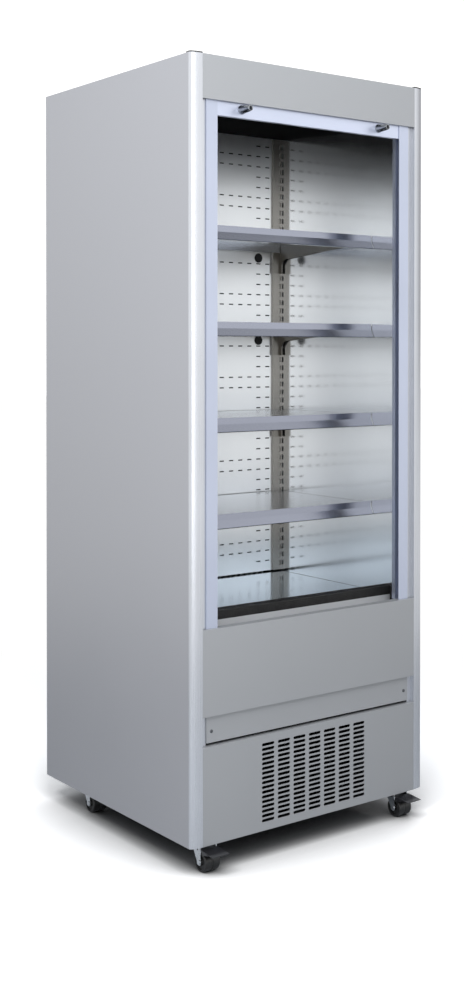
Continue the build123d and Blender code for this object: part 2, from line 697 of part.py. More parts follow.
def shelf_bracket(index):
    """Right bracket: gooseneck arm, plate on the upright and two hooks in its slots."""
    z = shelf_z(index)
    top = z - SHELF_T - SEAT
    low = z - BRACKET_DROP
    y1 = UPRIGHT_Y
    y0 = SHELF_FRONT_Y + BRACKET_SETBACK
    arm_low = z - SHELF_SIDE_H
    throat_z = arm_low - BRACKET_LEG
    foot_y = y1 - BRACKET_LEG
    throat = (foot_y - BRACKET_THROAT_R, throat_z)
    edge = Polyline((y1, low), (foot_y, low), (foot_y, throat_z - BRACKET_THROAT_R))
    edge += JernArc((foot_y, throat_z - BRACKET_THROAT_R), (0, 1), BRACKET_THROAT_R, 90)
    edge += Polyline(throat, ((y0 + y1) / 2, arm_low), (y0, arm_low + SHELF_SIDE_H / 3),
                     (y0, top), (y1, top), (y1, low))
    arm = extrude(Plane.YZ.offset(SLOT_X - BRACKET_T / 2) * make_face(edge), amount=BRACKET_T)
    plate_top = z - BRACKET_DROP + BRACKET_PLATE_H
    arm += block(SLOT_X - BRACKET_PLATE_W, SLOT_X, y1 - BRACKET_T, y1, low, plate_top)
    first = z - SHELF_ABOVE_SLOT
    for slot in (first, first - HOOK_PITCH):
        seat_z = slot - HOOK_SLOT_H / 2 + SEAT
        rear = y1 + UPRIGHT_WEB + SEAT
        hook = [(y1 - 1, seat_z), (rear, seat_z), (rear, seat_z - HOOK_NOSE),
                (rear + HOOK_NOSE_T, seat_z - HOOK_NOSE), (rear + HOOK_NOSE_T, seat_z + HOOK_H),
                (y1 - 1, seat_z + HOOK_H)]
        arm += along_x(hook, SLOT_X - BRACKET_T / 2, SLOT_X + BRACKET_T / 2)
    return arm


def shelf_brackets():
    """The brackets of all shelves, left and right."""
    return [piece for i in range(SHELF_COUNT) for piece in both_sides(shelf_bracket(i))]


def deck_pan():
    """Lift-out deck: plate whose side flanges stand on the insulated floor."""
    pan = block(-SHELF_X, SHELF_X, DECK_FRONT_Y, SHELF_REAR_Y, DECK_Z - DECK_T, DECK_Z)
    for x in (-SHELF_X, SHELF_X - DECK_T):
        pan += block(x, x + DECK_T, DECK_FRONT_Y, SHELF_REAR_Y, FLOOR_TOP + SEAT, DECK_Z)
    return pan + block(-SHELF_X, SHELF_X, DECK_FRONT_Y, DECK_FRONT_Y + DECK_T, DECK_Z - DECK_FRONT_H, DECK_Z)


# ---- night blind --------------------------------------------------------------------
def blind_roller():
    """Roller tube with its end pins."""
    half = POST_X - ROLLER_BRACKET_T - SEAT * 2
    tube = rod_x(-half + SEAT, half - SEAT, ROLLER_Y, ROLLER_Z, ROLLER_R)
    return tube + rod_x(-POST_X + SEAT, POST_X - SEAT, ROLLER_Y, ROLLER_Z, ROLLER_PIN_R)


def blind_roll():
    """Cloth wound on the roller."""
    half = POST_X - BLIND_EDGE
    roll = rod_x(-half, half, ROLLER_Y, ROLLER_Z, ROLL_R)
    return roll - rod_x(-half - 1, half + 1, ROLLER_Y, ROLLER_Z, ROLLER_R + RUN_FIT)


def blind_cloth():
    """Free stretch of the cloth, from the roll to the bar."""
    y = ROLLER_Y - ROLL_R - SEAT
    half = POST_X - BLIND_EDGE
    return block(-half, half, y - BLIND_T, y, BAR_PARK_Z + BAR_H + SEAT, ROLLER_Z)


def blind_bar():
    """Hollow aluminium pull bar; its ends run in the posts' slots."""
    half = POST_X + SLOT_DEPTH - BAR_END_GAP
    bar = block(-half, half, BAR_Y, BAR_Y + BAR_T, BAR_PARK_Z, BAR_PARK_Z + BAR_H)
    w = BAR_WALL
    return bar - block(-half, half, BAR_Y + w, BAR_Y + BAR_T - w, BAR_PARK_Z + w, BAR_PARK_Z + BAR_H - w)


def blind_knobs():
    """Two tapered pull knobs with a blind hole in the tip."""
    section = [(0, 0), (KNOB_BASE_R, 0), (KNOB_TIP_R, KNOB_L), (KNOB_HOLE_R, KNOB_L),
               (KNOB_HOLE_R, KNOB_L - KNOB_HOLE_L), (0, KNOB_L - KNOB_HOLE_L)]
    outline = make_face(Polyline([(r, 0, h) for r, h in section], close=True))
    knob = revolve(outline, Axis.Z)
    return [Pos(x, BAR_Y, BAR_PARK_Z + KNOB_Z) * Rot(90, 0, 0) * knob for x in (-KNOB_X, KNOB_X)]


def roller_brackets():
    """Brackets under the roof that carry the roller's pins."""
    x1 = POST_X - SEAT
    x0 = x1 - ROLLER_BRACKET_T
    y0, y1 = ROLLER_Y - ROLLER_BRACKET_W / 2, ROLLER_Y + ROLLER_BRACKET_W / 2
    plate = block(x0, x1, y0, y1, ROLLER_Z - ROLLER_BRACKET_W / 2, ROOF_Z)
    plate += block(x1 - ROLLER_BRACKET_TAB, x1, y0, y1, ROOF_Z - ROLLER_BRACKET_T, ROOF_Z)
    return both_sides(plate - rod_x(x0 - 1, x1 + 1, ROLLER_Y, ROLLER_Z, ROLLER_PIN_R + RUN_FIT))


# ---- casters ------------------------------------------------------------------------
def caster_places():
    """Name and place of each swivel axis."""
    return {
        "front_left": (-CASTER_X, CASTER_FRONT_Y),
        "front_right": (CASTER_X, CASTER_FRONT_Y),
        "rear_left": (-CASTER_X, CASTER_REAR_Y),
        "rear_right": (CASTER_X, CASTER_REAR_Y),
    }


def fork_top():
    """Height of the fork's top face, just under the bearing race."""
    return -CASTER_PLATE_T - RACE_H - SEAT


def caster_plate():
    """Top plate with bearing race, kingpin and its head."""
    race = -CASTER_PLATE_T - RACE_H
    head = fork_top() - CASTER_PLATE_T - SEAT
    half = CASTER_PLATE / 2
    plate = block(-half, half, -half, half, -CASTER_PLATE_T, 0)
    plate = fillet(plate.edges().filter_by(Axis.Z), CASTER_PLATE_R)
    plate += rod_z(0, 0, race, -CASTER_PLATE_T, RACE_R)
    plate += rod_z(0, 0, head, race, KINGPIN_R)
    return plate + rod_z(0, 0, head - KINGPIN_HEAD_H, head, KINGPIN_HEAD_R)


def caster_fork():
    """Fork with its riveted axle: round top, two tapered legs."""
    top = fork_top()
    low = top - CASTER_PLATE_T
    axle_z = WHEEL_R - CASTER_H
    inner = WHEEL_W / 2 + FORK_GAP
    outer = inner + FORK_T
    fork = rod_z(0, 0, low, top, FORK_DISC_R)
    fork += block(-outer, outer, -TRAIL - FORK_END_R / 2, FORK_END_R, low, top)
    leg = [(FORK_END_R, top), (-TRAIL - FORK_END_R / 2, top), (-TRAIL - FORK_END_R, axle_z),
           (-TRAIL + FORK_END_R, axle_z)]
    for x in (-outer, inner):
        fork += along_x(leg, x, x + FORK_T) + rod_x(x, x + FORK_T, -TRAIL, axle_z, FORK_END_R)
    fork += rod_x(-outer - AXLE_NUT_H, outer + AXLE_NUT_H, -TRAIL, axle_z, AXLE_R)
    for x in (-outer - AXLE_NUT_H, outer):
        fork += rod_x(x, x + AXLE_NUT_H, -TRAIL, axle_z, AXLE_NUT_R)
    fork -= rod_x(-outer - 1, outer + 1, -PEDAL_PIVOT_Y, -PEDAL_PIVOT_Z, PEDAL_PIN_R + RUN_FIT)
    return fork - rod_z(0, 0, low - 1, top + 1, KINGPIN_R + RUN_FIT)


def caster_wheel():
    """Twin-tread wheel with dished sides, a groove between the treads and a bore."""
    half = WHEEL_W / 2
    bore = AXLE_R + RUN_FIT
    r, e, g = WHEEL_R, WHEEL_EDGE_R, WHEEL_GROOVE
    right = [(bore, half), (WHEEL_DISH_R / 2, half), (WHEEL_DISH_R / 2 + 1, half - WHEEL_DISH),
             (WHEEL_DISH_R, half - WHEEL_DISH), (WHEEL_DISH_R + 1, half), (r - e, half)]
    left = [(radius, -x) for radius, x in reversed(right)]
    section = Polyline([(x, radius) for radius, x in right])
    section += RadiusArc((half, r - e), (half - e, r), -e)
    section += Polyline((half - e, r), (g, r), (0, r - g), (-g, r), (-half + e, r))
    section += RadiusArc((-half + e, r), (-half, r - e), -e)
    section += Polyline([(x, radius) for radius, x in left] + [(half, bore)])
    wheel = revolve(make_face(section), Axis.X)
    return Pos(0, -TRAIL, WHEEL_R - CASTER_H) * wheel


def brake_pedal():
    """Pressed pedal: sloping tread plate, side flanges and the pivot pin in the fork."""
    top = PEDAL_T - PEDAL_PIVOT_Z
    neck, half = PEDAL_NECK / 2, PEDAL_W / 2
    rear = -PEDAL_PIVOT_Y + PEDAL_PIN_R
    path = [(rear, top), (-PEDAL_SHOULDER, top), (-PEDAL_REACH, top - PEDAL_SLOPE)]
    plate = folded_sheet(path[:2][::-1], PEDAL_T, -neck, neck)
    plate += folded_sheet(path[1:][::-1], PEDAL_T, -half, half)
    low = top - PEDAL_T - PEDAL_FLANGE_H
    flange = [(-PEDAL_SHOULDER, top - PEDAL_LAP), (-PEDAL_SHOULDER, low + PEDAL_CORNER_H),
              (-PEDAL_SHOULDER - PEDAL_CORNER_L, low),
              (-PEDAL_SHOULDER - PEDAL_FLANGE_L, top - PEDAL_T - PEDAL_SLOPE)]
    for x in (-half, half - PEDAL_T):
        plate += along_x(flange, x, x + PEDAL_T)
    for x in (-neck, neck - PEDAL_T):
        plate += rod_x(x, x + PEDAL_T, -PEDAL_PIVOT_Y, -PEDAL_PIVOT_Z, PEDAL_EYE_R)
    outer = WHEEL_W / 2 + FORK_GAP + FORK_T
    return plate + rod_x(-outer, outer, -PEDAL_PIVOT_Y, -PEDAL_PIVOT_Z, PEDAL_PIN_R)


# ---- machine compartment ------------------------------------------------------------
def base_frame():
    """Base plate between the side panels, with upturned flanges."""
    half = INNER_X - SEAT
    y1 = REAR_COVER_Y - REAR_COVER_T
    base = block(-half, half, BASE_FRONT_Y, y1, 0, BASE_T)
    for x in (-half, half - BASE_T):
        base += block(x, x + BASE_T, BASE_FRONT_Y, y1, 0, BASE_FLANGE)
    return base


def rear_cover():
    """Louvred cover of the machine compartment."""
    half = INNER_X - SEAT
    y1 = REAR_COVER_Y
    cover = block(-half, half, y1 - REAR_COVER_T, y1, 0, REAR_COVER_H)
    cover += block(-half, half, y1 - REAR_COVER_FOLD, y1, REAR_COVER_H - REAR_COVER_T, REAR_COVER_H)
    hole = Box(LOUVRE_L, REAR_COVER_T * 4, LOUVRE_H)
    cover -= [Pos(0, y1, LOUVRE_Z + LOUVRE_PITCH * i) * hole for i in range(LOUVRE_COUNT)]
    return cover - rod_y(CORD_GROMMET_X, y1 - REAR_COVER_FOLD, y1 + 1, CORD_GROMMET_Z, GROMMET_HOLE_R)


def finned_block(width, depth, height, fins):
    """Heat exchanger core with its front cut into upright fins."""
    pitch = width / fins
    fin = pitch * FIN_SHARE
    points = [(-width / 2, depth), (-width / 2, 0)]
    for i in range(fins):
        x = -width / 2 + pitch * i
        points += [(x + fin, 0), (x + fin, FIN_DEPTH), (x + pitch, FIN_DEPTH), (x + pitch, 0)]
    points = points[:-2] + [(width / 2, FIN_DEPTH), (width / 2, depth)]
    return up_z(points, 0, height)


def condenser_coil():
    """Condenser behind the front grille, on two feet."""
    coil = Pos(0, COIL_Y, BASE_T + COIL_FOOT) * finned_block(COIL_W, COIL_D, COIL_H, COIL_FINS)
    for x in (-COIL_W / 2, COIL_W / 2 - COIL_FOOT):
        coil += block(x, x + COIL_FOOT, COIL_Y + FIN_DEPTH, COIL_Y + COIL_D, BASE_T, BASE_T + COIL_FOOT)
    return coil


def evaporator_coil():
    """Evaporator that stands on the insulated floor in the rear air duct."""
    return Pos(0, EVAP_Y, FLOOR_TOP) * finned_block(EVAP_W, EVAP_D, EVAP_H, EVAP_FINS)


def axial_fan(radius, hub_r, depth):
    """Fan wheel about the Y axis: bored hub and pitched blades."""
    hub = rod_y(0, 0, depth, 0, hub_r)
    root = hub_r * 0.8
    chord = depth * 0.8 / math.cos(math.radians(BLADE_PITCH))
    blade = Pos((root + radius) / 2, 0, 0) * Box(radius - root, chord, BLADE_T)
    blade = fillet(blade.edges().filter_by(Axis.Z).sort_by(Axis.X)[-2:], depth * 0.3)
    blade = Pos(0, depth / 2, 0) * Rot(BLADE_PITCH, 0, 0) * blade
    wheel = hub
    for i in range(FAN_BLADES):
        wheel += Rot(0, 360 / FAN_BLADES * i, 0) * blade
    return wheel - rod_y(0, -1, depth + 1, 0, SHAFT_R + RUN_FIT)


def spider(radius, y):
    """Four arms and a disc that carry a fan motor, its front at y."""
    arms = rod_y(0, y, y + SPIDER_T, 0, radius * 0.3)
    for turn in (45, 135):
        bar = Pos(0, y + SPIDER_T / 2, 0) * Box(radius * 2, SPIDER_T, SPIDER_W)
        arms += Rot(0, turn, 0) * bar
    return arms - rod_y(0, y - 1, y + SPIDER_T + 1, 0, SHAFT_R + SEAT)


def condenser_fan_z():
    """Height of the condenser fan's axis."""
    return BASE_T + COIL_FOOT + COIL_H / 2


def condenser_fan_shroud():
    """Shroud plate, ring and spider behind the condenser."""
    z = condenser_fan_z()
    bore = FAN_R + FAN_TIP_GAP
    half = COIL_W / 2
    plate = block(-half, half, SHROUD_Y, SHROUD_Y + SHROUD_T, BASE_T, BASE_T + COIL_FOOT + COIL_H)
    ring = rod_y(0, SHROUD_Y, SHROUD_Y + SHROUD_RING_D, z, SHROUD_RING_R)
    bored = rod_y(0, SHROUD_Y - 1, SHROUD_Y + SHROUD_RING_D + 1, z, bore)
    return plate + ring - bored + Pos(0, 0, z) * spider(SHROUD_RING_R, SHROUD_Y + SHROUD_RING_D)


def fan_motor(radius, length, shaft_l):
    """Motor about the Y axis, its front face at y = 0, with the shaft forwards."""
    body = rod_y(0, 0, length, 0, radius)
    body = fillet(body.edges().sort_by(Axis.Y)[-1], radius * 0.25)
    return body + rod_y(0, -shaft_l, 0, 0, SHAFT_R)


def condenser_fan():
    """Fan wheel inside the shroud's ring."""
    y = SHROUD_Y + (SHROUD_RING_D - FAN_DEPTH) / 2 + SEAT
    return Pos(0, y, condenser_fan_z()) * axial_fan(FAN_R, HUB_R, FAN_DEPTH)


def small_fan_z():
    """Height of the evaporator fans' axes."""
    return FLOOR_TOP + FAN_PLATE_H / 2


def evaporator_fan_plate():
    """Plate across the air space under the deck, with two fan openings and spiders."""
    half = SHELF_X - DECK_T - SHELF_SIDE_GAP
    y1 = FAN_PLATE_Y + FAN_PLATE_T
    plate = block(-half, half, FAN_PLATE_Y, y1, FLOOR_TOP, FLOOR_TOP + FAN_PLATE_H)
    ring_r = SMALL_FAN_R + SMALL_FAN_GAP
    for x in (-SMALL_FAN_X, SMALL_FAN_X):
        z = small_fan_z()
        plate += rod_y(x, FAN_PLATE_Y, y1 + SMALL_SPIDER_D, z, ring_r + FAN_PLATE_T)
        plate -= rod_y(x, FAN_PLATE_Y - 1, y1 + SMALL_SPIDER_D + 1, z, ring_r)
        plate += Pos(x, 0, z) * spider(ring_r + FAN_PLATE_T, y1 + SMALL_SPIDER_D)
    return plate


def fan_motors():
    """The condenser fan's motor and the two evaporator fans' motors, each behind its spider."""
    y = SHROUD_Y + SHROUD_RING_D + SPIDER_T
    large = fan_motor(MOTOR_R, MOTOR_L, SPIDER_T + SHROUD_RING_D * 0.7)
    motors = [Pos(0, y, condenser_fan_z()) * large]
    y = FAN_PLATE_Y + FAN_PLATE_T + SMALL_SPIDER_D + SPIDER_T
    small = fan_motor(SMALL_MOTOR_R, SMALL_MOTOR_L, SPIDER_T + SMALL_SPIDER_D * 0.9)
    return motors + [Pos(x, y, small_fan_z()) * small for x in (-SMALL_FAN_X, SMALL_FAN_X)]


def evaporator_fan(x):
    """One fan wheel in its opening of the fan plate."""
    y = FAN_PLATE_Y + FAN_PLATE_T + SEAT
    return Pos(x, y, small_fan_z()) * axial_fan(SMALL_FAN_R, SMALL_HUB_R, SMALL_FAN_DEPTH)


def compressor():
    """Hermetic compressor: domed pot on a foot plate."""
    z0 = BASE_T + FOOT_GROMMET_H
    z1 = z0 + COMPRESSOR_FOOT_T
    r = COMPRESSOR_R
    pot = rod_z(0, 0, z1, z1 + COMPRESSOR_H, r)
    pot = fillet(pot.edges().filter_by(GeomType.CIRCLE).sort_by(Axis.Z)[-1], COMPRESSOR_DOME_R)
    seam_z = z1 + COMPRESSOR_SEAM_Z
    pot += rod_z(0, 0, seam_z, seam_z + COMPRESSOR_SEAM_H, r + COMPRESSOR_SEAM)
    foot = block(-COMPRESSOR_FOOT, COMPRESSOR_FOOT, -r, r, z0, z1)
    return Pos(COMPRESSOR_X, COMPRESSOR_Y, 0) * (pot + foot)


def compressor_grommets():
    """Rubber grommets under the compressor's foot plate."""
    x = COMPRESSOR_FOOT - FOOT_GROMMET_R
    y = COMPRESSOR_R - FOOT_GROMMET_R
    return [
        rod_z(COMPRESSOR_X + i * x, COMPRESSOR_Y + j * y, BASE_T, BASE_T + FOOT_GROMMET_H, FOOT_GROMMET_R)
        for i in (-1, 1) for j in (-1, 1)
    ]


def pipe(points):
    """Round tube along a path with bent corners."""
    route = FilletPolyline(*points, radius=PIPE_BEND)
    return sweep(Plane(origin=route @ 0, z_dir=route % 0) * Circle(PIPE_R), path=route)


def pipework():
    """Copper pipes: compressor to condenser, condenser to evaporator, evaporator to compressor."""
    coil_y = COIL_Y + COIL_D - FIN_DEPTH / 2
    evap_left = -EVAP_W / 2
    discharge = pipe([
        (COMPRESSOR_X, COMPRESSOR_Y - COMPRESSOR_R / 2, DISCHARGE_Z),
        (COMPRESSOR_X, DISCHARGE_Y, DISCHARGE_Z),
        (-DISCHARGE_X, DISCHARGE_Y, DISCHARGE_Z), (-DISCHARGE_X, coil_y, DISCHARGE_Z),
        (-COIL_W / 2, coil_y, DISCHARGE_Z),
    ])
    in_z, out_z = FLOOR_TOP + LIQUID_PIPE_RISE, FLOOR_TOP + SUCTION_PIPE_RISE
    liquid = pipe([
        (-COIL_W / 2, coil_y, LIQUID_PIPE_Z), (-RISER_X, coil_y, LIQUID_PIPE_Z),
        (-RISER_X, LIQUID_PIPE_Y, LIQUID_PIPE_Z), (-RISER_X, LIQUID_PIPE_Y, in_z),
        (evap_left, LIQUID_PIPE_Y, in_z),
    ])
    suction = pipe([
        (evap_left, SUCTION_PIPE_Y, out_z), (-RISER_X, SUCTION_PIPE_Y, out_z),
        (-RISER_X, SUCTION_PIPE_Y, SUCTION_PIPE_Z), (-RISER_X, COMPRESSOR_Y, SUCTION_PIPE_Z),
        (COMPRESSOR_X - COMPRESSOR_R / 2, COMPRESSOR_Y, SUCTION_PIPE_Z),
    ])
    unit = compressor()
    return [discharge - unit, liquid, suction - unit]


def condensate_tray():
    """Open tray that collects the defrost water."""
    x0, y0 = TRAY_X - TRAY_W / 2, TRAY_Y - TRAY_L / 2
    w = TRAY_WALL
    tray = block(x0, x0 + TRAY_W, y0, y0 + TRAY_L, BASE_T, BASE_T + TRAY_H)
    return tray - block(x0 + w, x0 + TRAY_W - w, y0 + w, y0 + TRAY_L - w, BASE_T + w, BASE_T + TRAY_H)


def electrical_box():
    """Closed box for the supply terminals and the controller."""
    x0, y0 = BOX_X - BOX_W / 2, BOX_Y - BOX_L / 2
    box = block(x0, x0 + BOX_W, y0, y0 + BOX_L, BASE_T, BASE_T + BOX_H)
    return fillet(box.edges().filter_by(Axis.Z), BOX_CORNER_R)


# ---- all pieces ---------------------------------------------------------------------
def pieces():
    """Every node's name with its solid or list of solids, in the building frame."""
    right_side = side_skin()
    nodes = {
        "side_skin_right": right_side,
        "side_skin_left": mirror(right_side, about=Plane.YZ),
        "back_skin": back_skin(),
        "roof_skin": roof_skin(),
        "insulation_foam": insulation_foam(),
        "corner_profiles": corner_profiles(),
        "profile_end_caps": profile_end_caps(),
        "header_panel": header_panel(),
        "lower_front_panel": lower_front_panel(),
        "screw_band": screw_band(),
        "band_screws": band_screws(),
        "grille_panel": grille_panel(),
        "guide_posts": guide_posts(),
        "side_liners": side_liners(),
        "perforated_back": perforated_back(),
        "cable_grommets": cable_grommets(),
        "uprights": uprights(),
        "ceiling_panel": ceiling_panel(),
        "air_honeycomb": air_honeycomb(),
        "led_lamp": led_lamp(),
        "front_sill": front_sill(),
        "return_air_grille": return_air_grille(),
        "shelf_brackets": shelf_brackets(),
        "deck_pan": deck_pan(),
        "blind_roller": blind_roller(),
        "blind_roll": blind_roll(),
        "blind_cloth": blind_cloth(),
        "blind_bar": blind_bar(),
        "blind_knobs": blind_knobs(),
        "roller_brackets": roller_brackets(),
        "base_frame": base_frame(),
        "rear_cover": rear_cover(),
        "condenser_coil": condenser_coil(),
        "condenser_fan_shroud": condenser_fan_shroud(),
        "fan_motors": fan_motors(),
        "condenser_fan": condenser_fan(),
        "compressor": compressor(),
        "compressor_grommets": compressor_grommets(),
        "pipework": pipework(),
        "condensate_tray": condensate_tray(),
        "electrical_box": electrical_box(),
        "evaporator_coil": evaporator_coil(),
        "evaporator_fan_plate": evaporator_fan_plate(),
        "evaporator_fan_left": evaporator_fan(-SMALL_FAN_X),
        "evaporator_fan_right": evaporator_fan(SMALL_FAN_X),
    }
    for i in range(SHELF_COUNT):
        nodes[f"shelf_{SHELF_COUNT - i}"] = shelf(i)
    plates = []
    fork, wheel, pedal = caster_fork(), caster_wheel(), brake_pedal()
    for name, (x, y) in caster_places().items():
        plates.append(Pos(x, y, 0) * caster_plate())
        nodes[f"caster_fork_{name}"] = Pos(x, y, 0) * fork
        nodes[f"caster_wheel_{name}"] = Pos(x, y, 0) * wheel
        if name.startswith("front"):
            nodes[f"brake_pedal_{name}"] = Pos(x, y, 0) * pedal
    nodes["caster_plates"] = plates
    return nodes


os.makedirs("parts", exist_ok=True)
for name, shape in pieces().items():
    solids = shape if isinstance(shape, list) else [shape]
    bodies = [seat(one) for one in solids]
    export_step(bodies[0] if len(bodies) == 1 else Compound(children=bodies), f"parts/{name}.step")
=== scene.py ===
"""Looks of an open multideck display fridge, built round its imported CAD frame.

Each sub-assembly is a class that holds its sizes and dresses its own nodes. Sizes are metres,
written with MM where the real part is known in millimetres.
"""

from __future__ import annotations

import json
import logging
import math
from dataclasses import dataclass
from enum import Enum
from typing import Any, Iterable

import bmesh
import bpy
from mathutils import Matrix, Vector

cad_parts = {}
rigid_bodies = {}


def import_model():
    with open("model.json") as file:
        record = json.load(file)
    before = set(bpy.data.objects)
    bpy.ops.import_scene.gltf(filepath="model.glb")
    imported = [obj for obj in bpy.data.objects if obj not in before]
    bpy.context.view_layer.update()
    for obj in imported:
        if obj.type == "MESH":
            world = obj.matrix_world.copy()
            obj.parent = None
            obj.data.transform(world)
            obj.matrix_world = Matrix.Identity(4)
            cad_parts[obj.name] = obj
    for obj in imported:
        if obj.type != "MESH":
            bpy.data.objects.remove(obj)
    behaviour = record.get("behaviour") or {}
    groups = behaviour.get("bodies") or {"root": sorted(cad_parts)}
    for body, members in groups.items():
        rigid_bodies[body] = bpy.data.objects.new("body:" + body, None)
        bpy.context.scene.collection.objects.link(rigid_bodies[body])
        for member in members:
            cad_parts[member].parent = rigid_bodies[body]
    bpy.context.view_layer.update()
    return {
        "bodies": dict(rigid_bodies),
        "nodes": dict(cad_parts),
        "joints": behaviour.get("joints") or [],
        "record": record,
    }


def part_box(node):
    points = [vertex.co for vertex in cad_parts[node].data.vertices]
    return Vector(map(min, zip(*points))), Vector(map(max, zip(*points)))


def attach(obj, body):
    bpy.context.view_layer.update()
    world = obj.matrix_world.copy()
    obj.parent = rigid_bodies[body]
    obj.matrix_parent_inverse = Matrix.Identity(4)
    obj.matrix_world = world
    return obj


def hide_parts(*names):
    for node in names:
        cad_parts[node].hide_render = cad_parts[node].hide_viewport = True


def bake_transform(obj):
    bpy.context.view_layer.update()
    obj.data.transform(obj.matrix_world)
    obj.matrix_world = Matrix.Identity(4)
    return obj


MM = 0.001
MERGE = 0.01 * MM                     # points nearer than this are one
ON_AXIS = 1e-7                        # a radius below this is a point on the axis
NOISE_BAND = (0.3, 0.7)               # where most of a noise's values lie
COLOUR_A, COLOUR_B, COLOUR_OUT = 6, 7, 2      # sockets of a Mix node that mixes colours
VALUE_A, VALUE_B = 2, 3               # inputs of one that mixes numbers
PLASTIC_IOR = 1.5
ROUND_END = 0.49                      # of a slot's height: short of half, so its arcs stay apart
LIP_BACK = -188 * MM                  # y just behind the upright face of a shelf's ticket lip
SHELVES = range(1, 5)                 # shelf_1 is the top one
LOG = logging.getLogger("fridge")

Point = tuple[float, float, float]
Point2 = tuple[float, float]
Inputs = dict[str | int, Any]
Mesh = bmesh.types.BMesh
Piece = bpy.types.Object
Socket = bpy.types.NodeSocket
Tree = bpy.types.NodeTree


class Axis(Enum):
    """Direction along which a surface was rolled, drawn or brushed."""

    X = 0
    Y = 1
    Z = 2


# ---- nodes and colours --------------------------------------------------------------
def linear(hex_colour: str) -> tuple[float, float, float, float]:
    """Turn an sRGB hex colour into linear values.

    Args:
        hex_colour: Six hex digits, such as "c8ccd4".

    Returns:
        Linear red, green, blue and an alpha of 1.
    """
    channels = [int(hex_colour[i:i + 2], 16) / 255 for i in (0, 2, 4)]
    values = [c / 12.92 if c <= 0.04045 else ((c + 0.055) / 1.055) ** 2.4 for c in channels]
    return (values[0], values[1], values[2], 1.0)


def feed(tree: Tree, node: bpy.types.Node, inputs: Inputs) -> None:
    """Set inputs of a node.

    Args:
        tree: Node tree that holds the node.
        node: The node.
        inputs: Socket name or index to a value, or to the output socket that feeds it.
    """
    for key, value in inputs.items():
        socket = node.inputs[key]
        if isinstance(value, Socket):
            tree.links.new(value, socket)
        else:
            socket.default_value = value


def add_node(tree: Tree, kind: str, inputs: Inputs | None = None,
             **settings: Any) -> bpy.types.Node:
    """Add one node with its settings, values and links.

    Args:
        tree: Node tree that gets the node.
        kind: Node type, such as "ShaderNodeTexNoise".
        inputs: Socket name or index to a value, or to the output socket that feeds it.
        settings: Attributes set on the node.

    Returns:
        The new node.
    """
    node = tree.nodes.new(kind)
    for name, value in settings.items():
        setattr(node, name, value)
    feed(tree, node, inputs or {})
    return node


def shades(hex_colour: str, swing: float) -> tuple[list[float], list[float]]:
    """A darker and a lighter shade of a colour.

    Args:
        hex_colour: The colour between them, six hex digits.
        swing: Share of it by which each is darker or lighter.

    Returns:
        The two linear colours, each with an alpha of 1.
    """
    base = linear(hex_colour)[:3]
    return ([c * (1 - swing) for c in base] + [1.0],
            [min(1.0, c * (1 + swing)) for c in base] + [1.0])


class Surface:
    """A material in the making: one Principled shader, its patterns on Object coordinates."""

    def __init__(self, name: str) -> None:
        """Start the material with an empty tree and its shader.

        Args:
            name: The material's name.
        """
        self.material = bpy.data.materials.new(name)
        self.material.use_nodes = True
        self.tree = self.material.node_tree
        self.tree.nodes.clear()
        self.shader = self.node("ShaderNodeBsdfPrincipled")
        self.node("ShaderNodeOutputMaterial", {"Surface": self.shader.outputs[0]})
        self.coords = self.node("ShaderNodeTexCoord").outputs["Object"]

    def node(self, kind: str, inputs: Inputs | None = None, **settings: Any) -> bpy.types.Node:
        """Add one node of the tree."""
        return add_node(self.tree, kind, inputs, **settings)

    def set(self, inputs: Inputs) -> None:
        """Set inputs of the shader."""
        feed(self.tree, self.shader, inputs)

    def stretched(self, axis: Axis, across: float, along: float) -> Socket:
        """Coordinates in units of a pattern that is long along one axis.

        Args:
            axis: The pattern's long direction.
            across: Real size of a stroke across that direction, in metres.
            along: Real length of a stroke, in metres.

        Returns:
            The vector socket.
        """
        scale = [1 / across] * 3
        scale[axis.value] = 1 / along
        return self.node("ShaderNodeMapping",
                         {"Vector": self.coords, "Scale": scale}).outputs[0]

    def spread(self, noise: Socket, low: float = 0.0, high: float = 1.0) -> Socket:
        """Map the band that a noise mostly lies in to a range of values.

        Args:
            noise: The noise's socket.
            low: Value at the band's lower end.
            high: Value at its upper end.

        Returns:
            The mapped value's socket.
        """
        return self.node("ShaderNodeMapRange", {
            "Value": noise, "From Min": NOISE_BAND[0], "From Max": NOISE_BAND[1],
            "To Min": low, "To Max": high}).outputs[0]

    def colour(self, factor: Socket, first: Any, second: Any) -> Socket:
        """Colour the surface from one tone to another.

        Args:
            factor: 0 where the surface has the first tone, 1 where it has the second.
            first: Linear colour, or the socket that gives it.
            second: The same for the other tone.

        Returns:
            The colour's socket.
        """
        mixed = self.node("ShaderNodeMix", {0: factor, COLOUR_A: first, COLOUR_B: second},
                          data_type="RGBA").outputs[COLOUR_OUT]
        self.set({"Base Color": mixed})
        return mixed

    def relief(self, height: Socket, strength: float, depth: float) -> None:
        """Give the surface a fine relief.

        Args:
            height: The pattern's height, 0 to 1.
            strength: Share of the relief that shows.
            depth: Real depth of the pattern, in metres.
        """
        bump = self.node("ShaderNodeBump",
                         {"Height": height, "Strength": strength, "Distance": depth})
        self.set({"Normal": bump.outputs[0]})


# ---- finishes -----------------------------------------------------------------------
@dataclass(frozen=True)
class Finish:
    """What a surface is made of, how it was made, and its own colour."""

    name: str
    tint: str

    def build(self) -> bpy.types.Material:
        """Build the material."""
        surface = Surface(self.name)
        self.dress(surface)
        return surface.material

    def dress(self, surface: Surface) -> None:
        """Give a new surface its colour, gloss and relief."""
        raise NotImplementedError


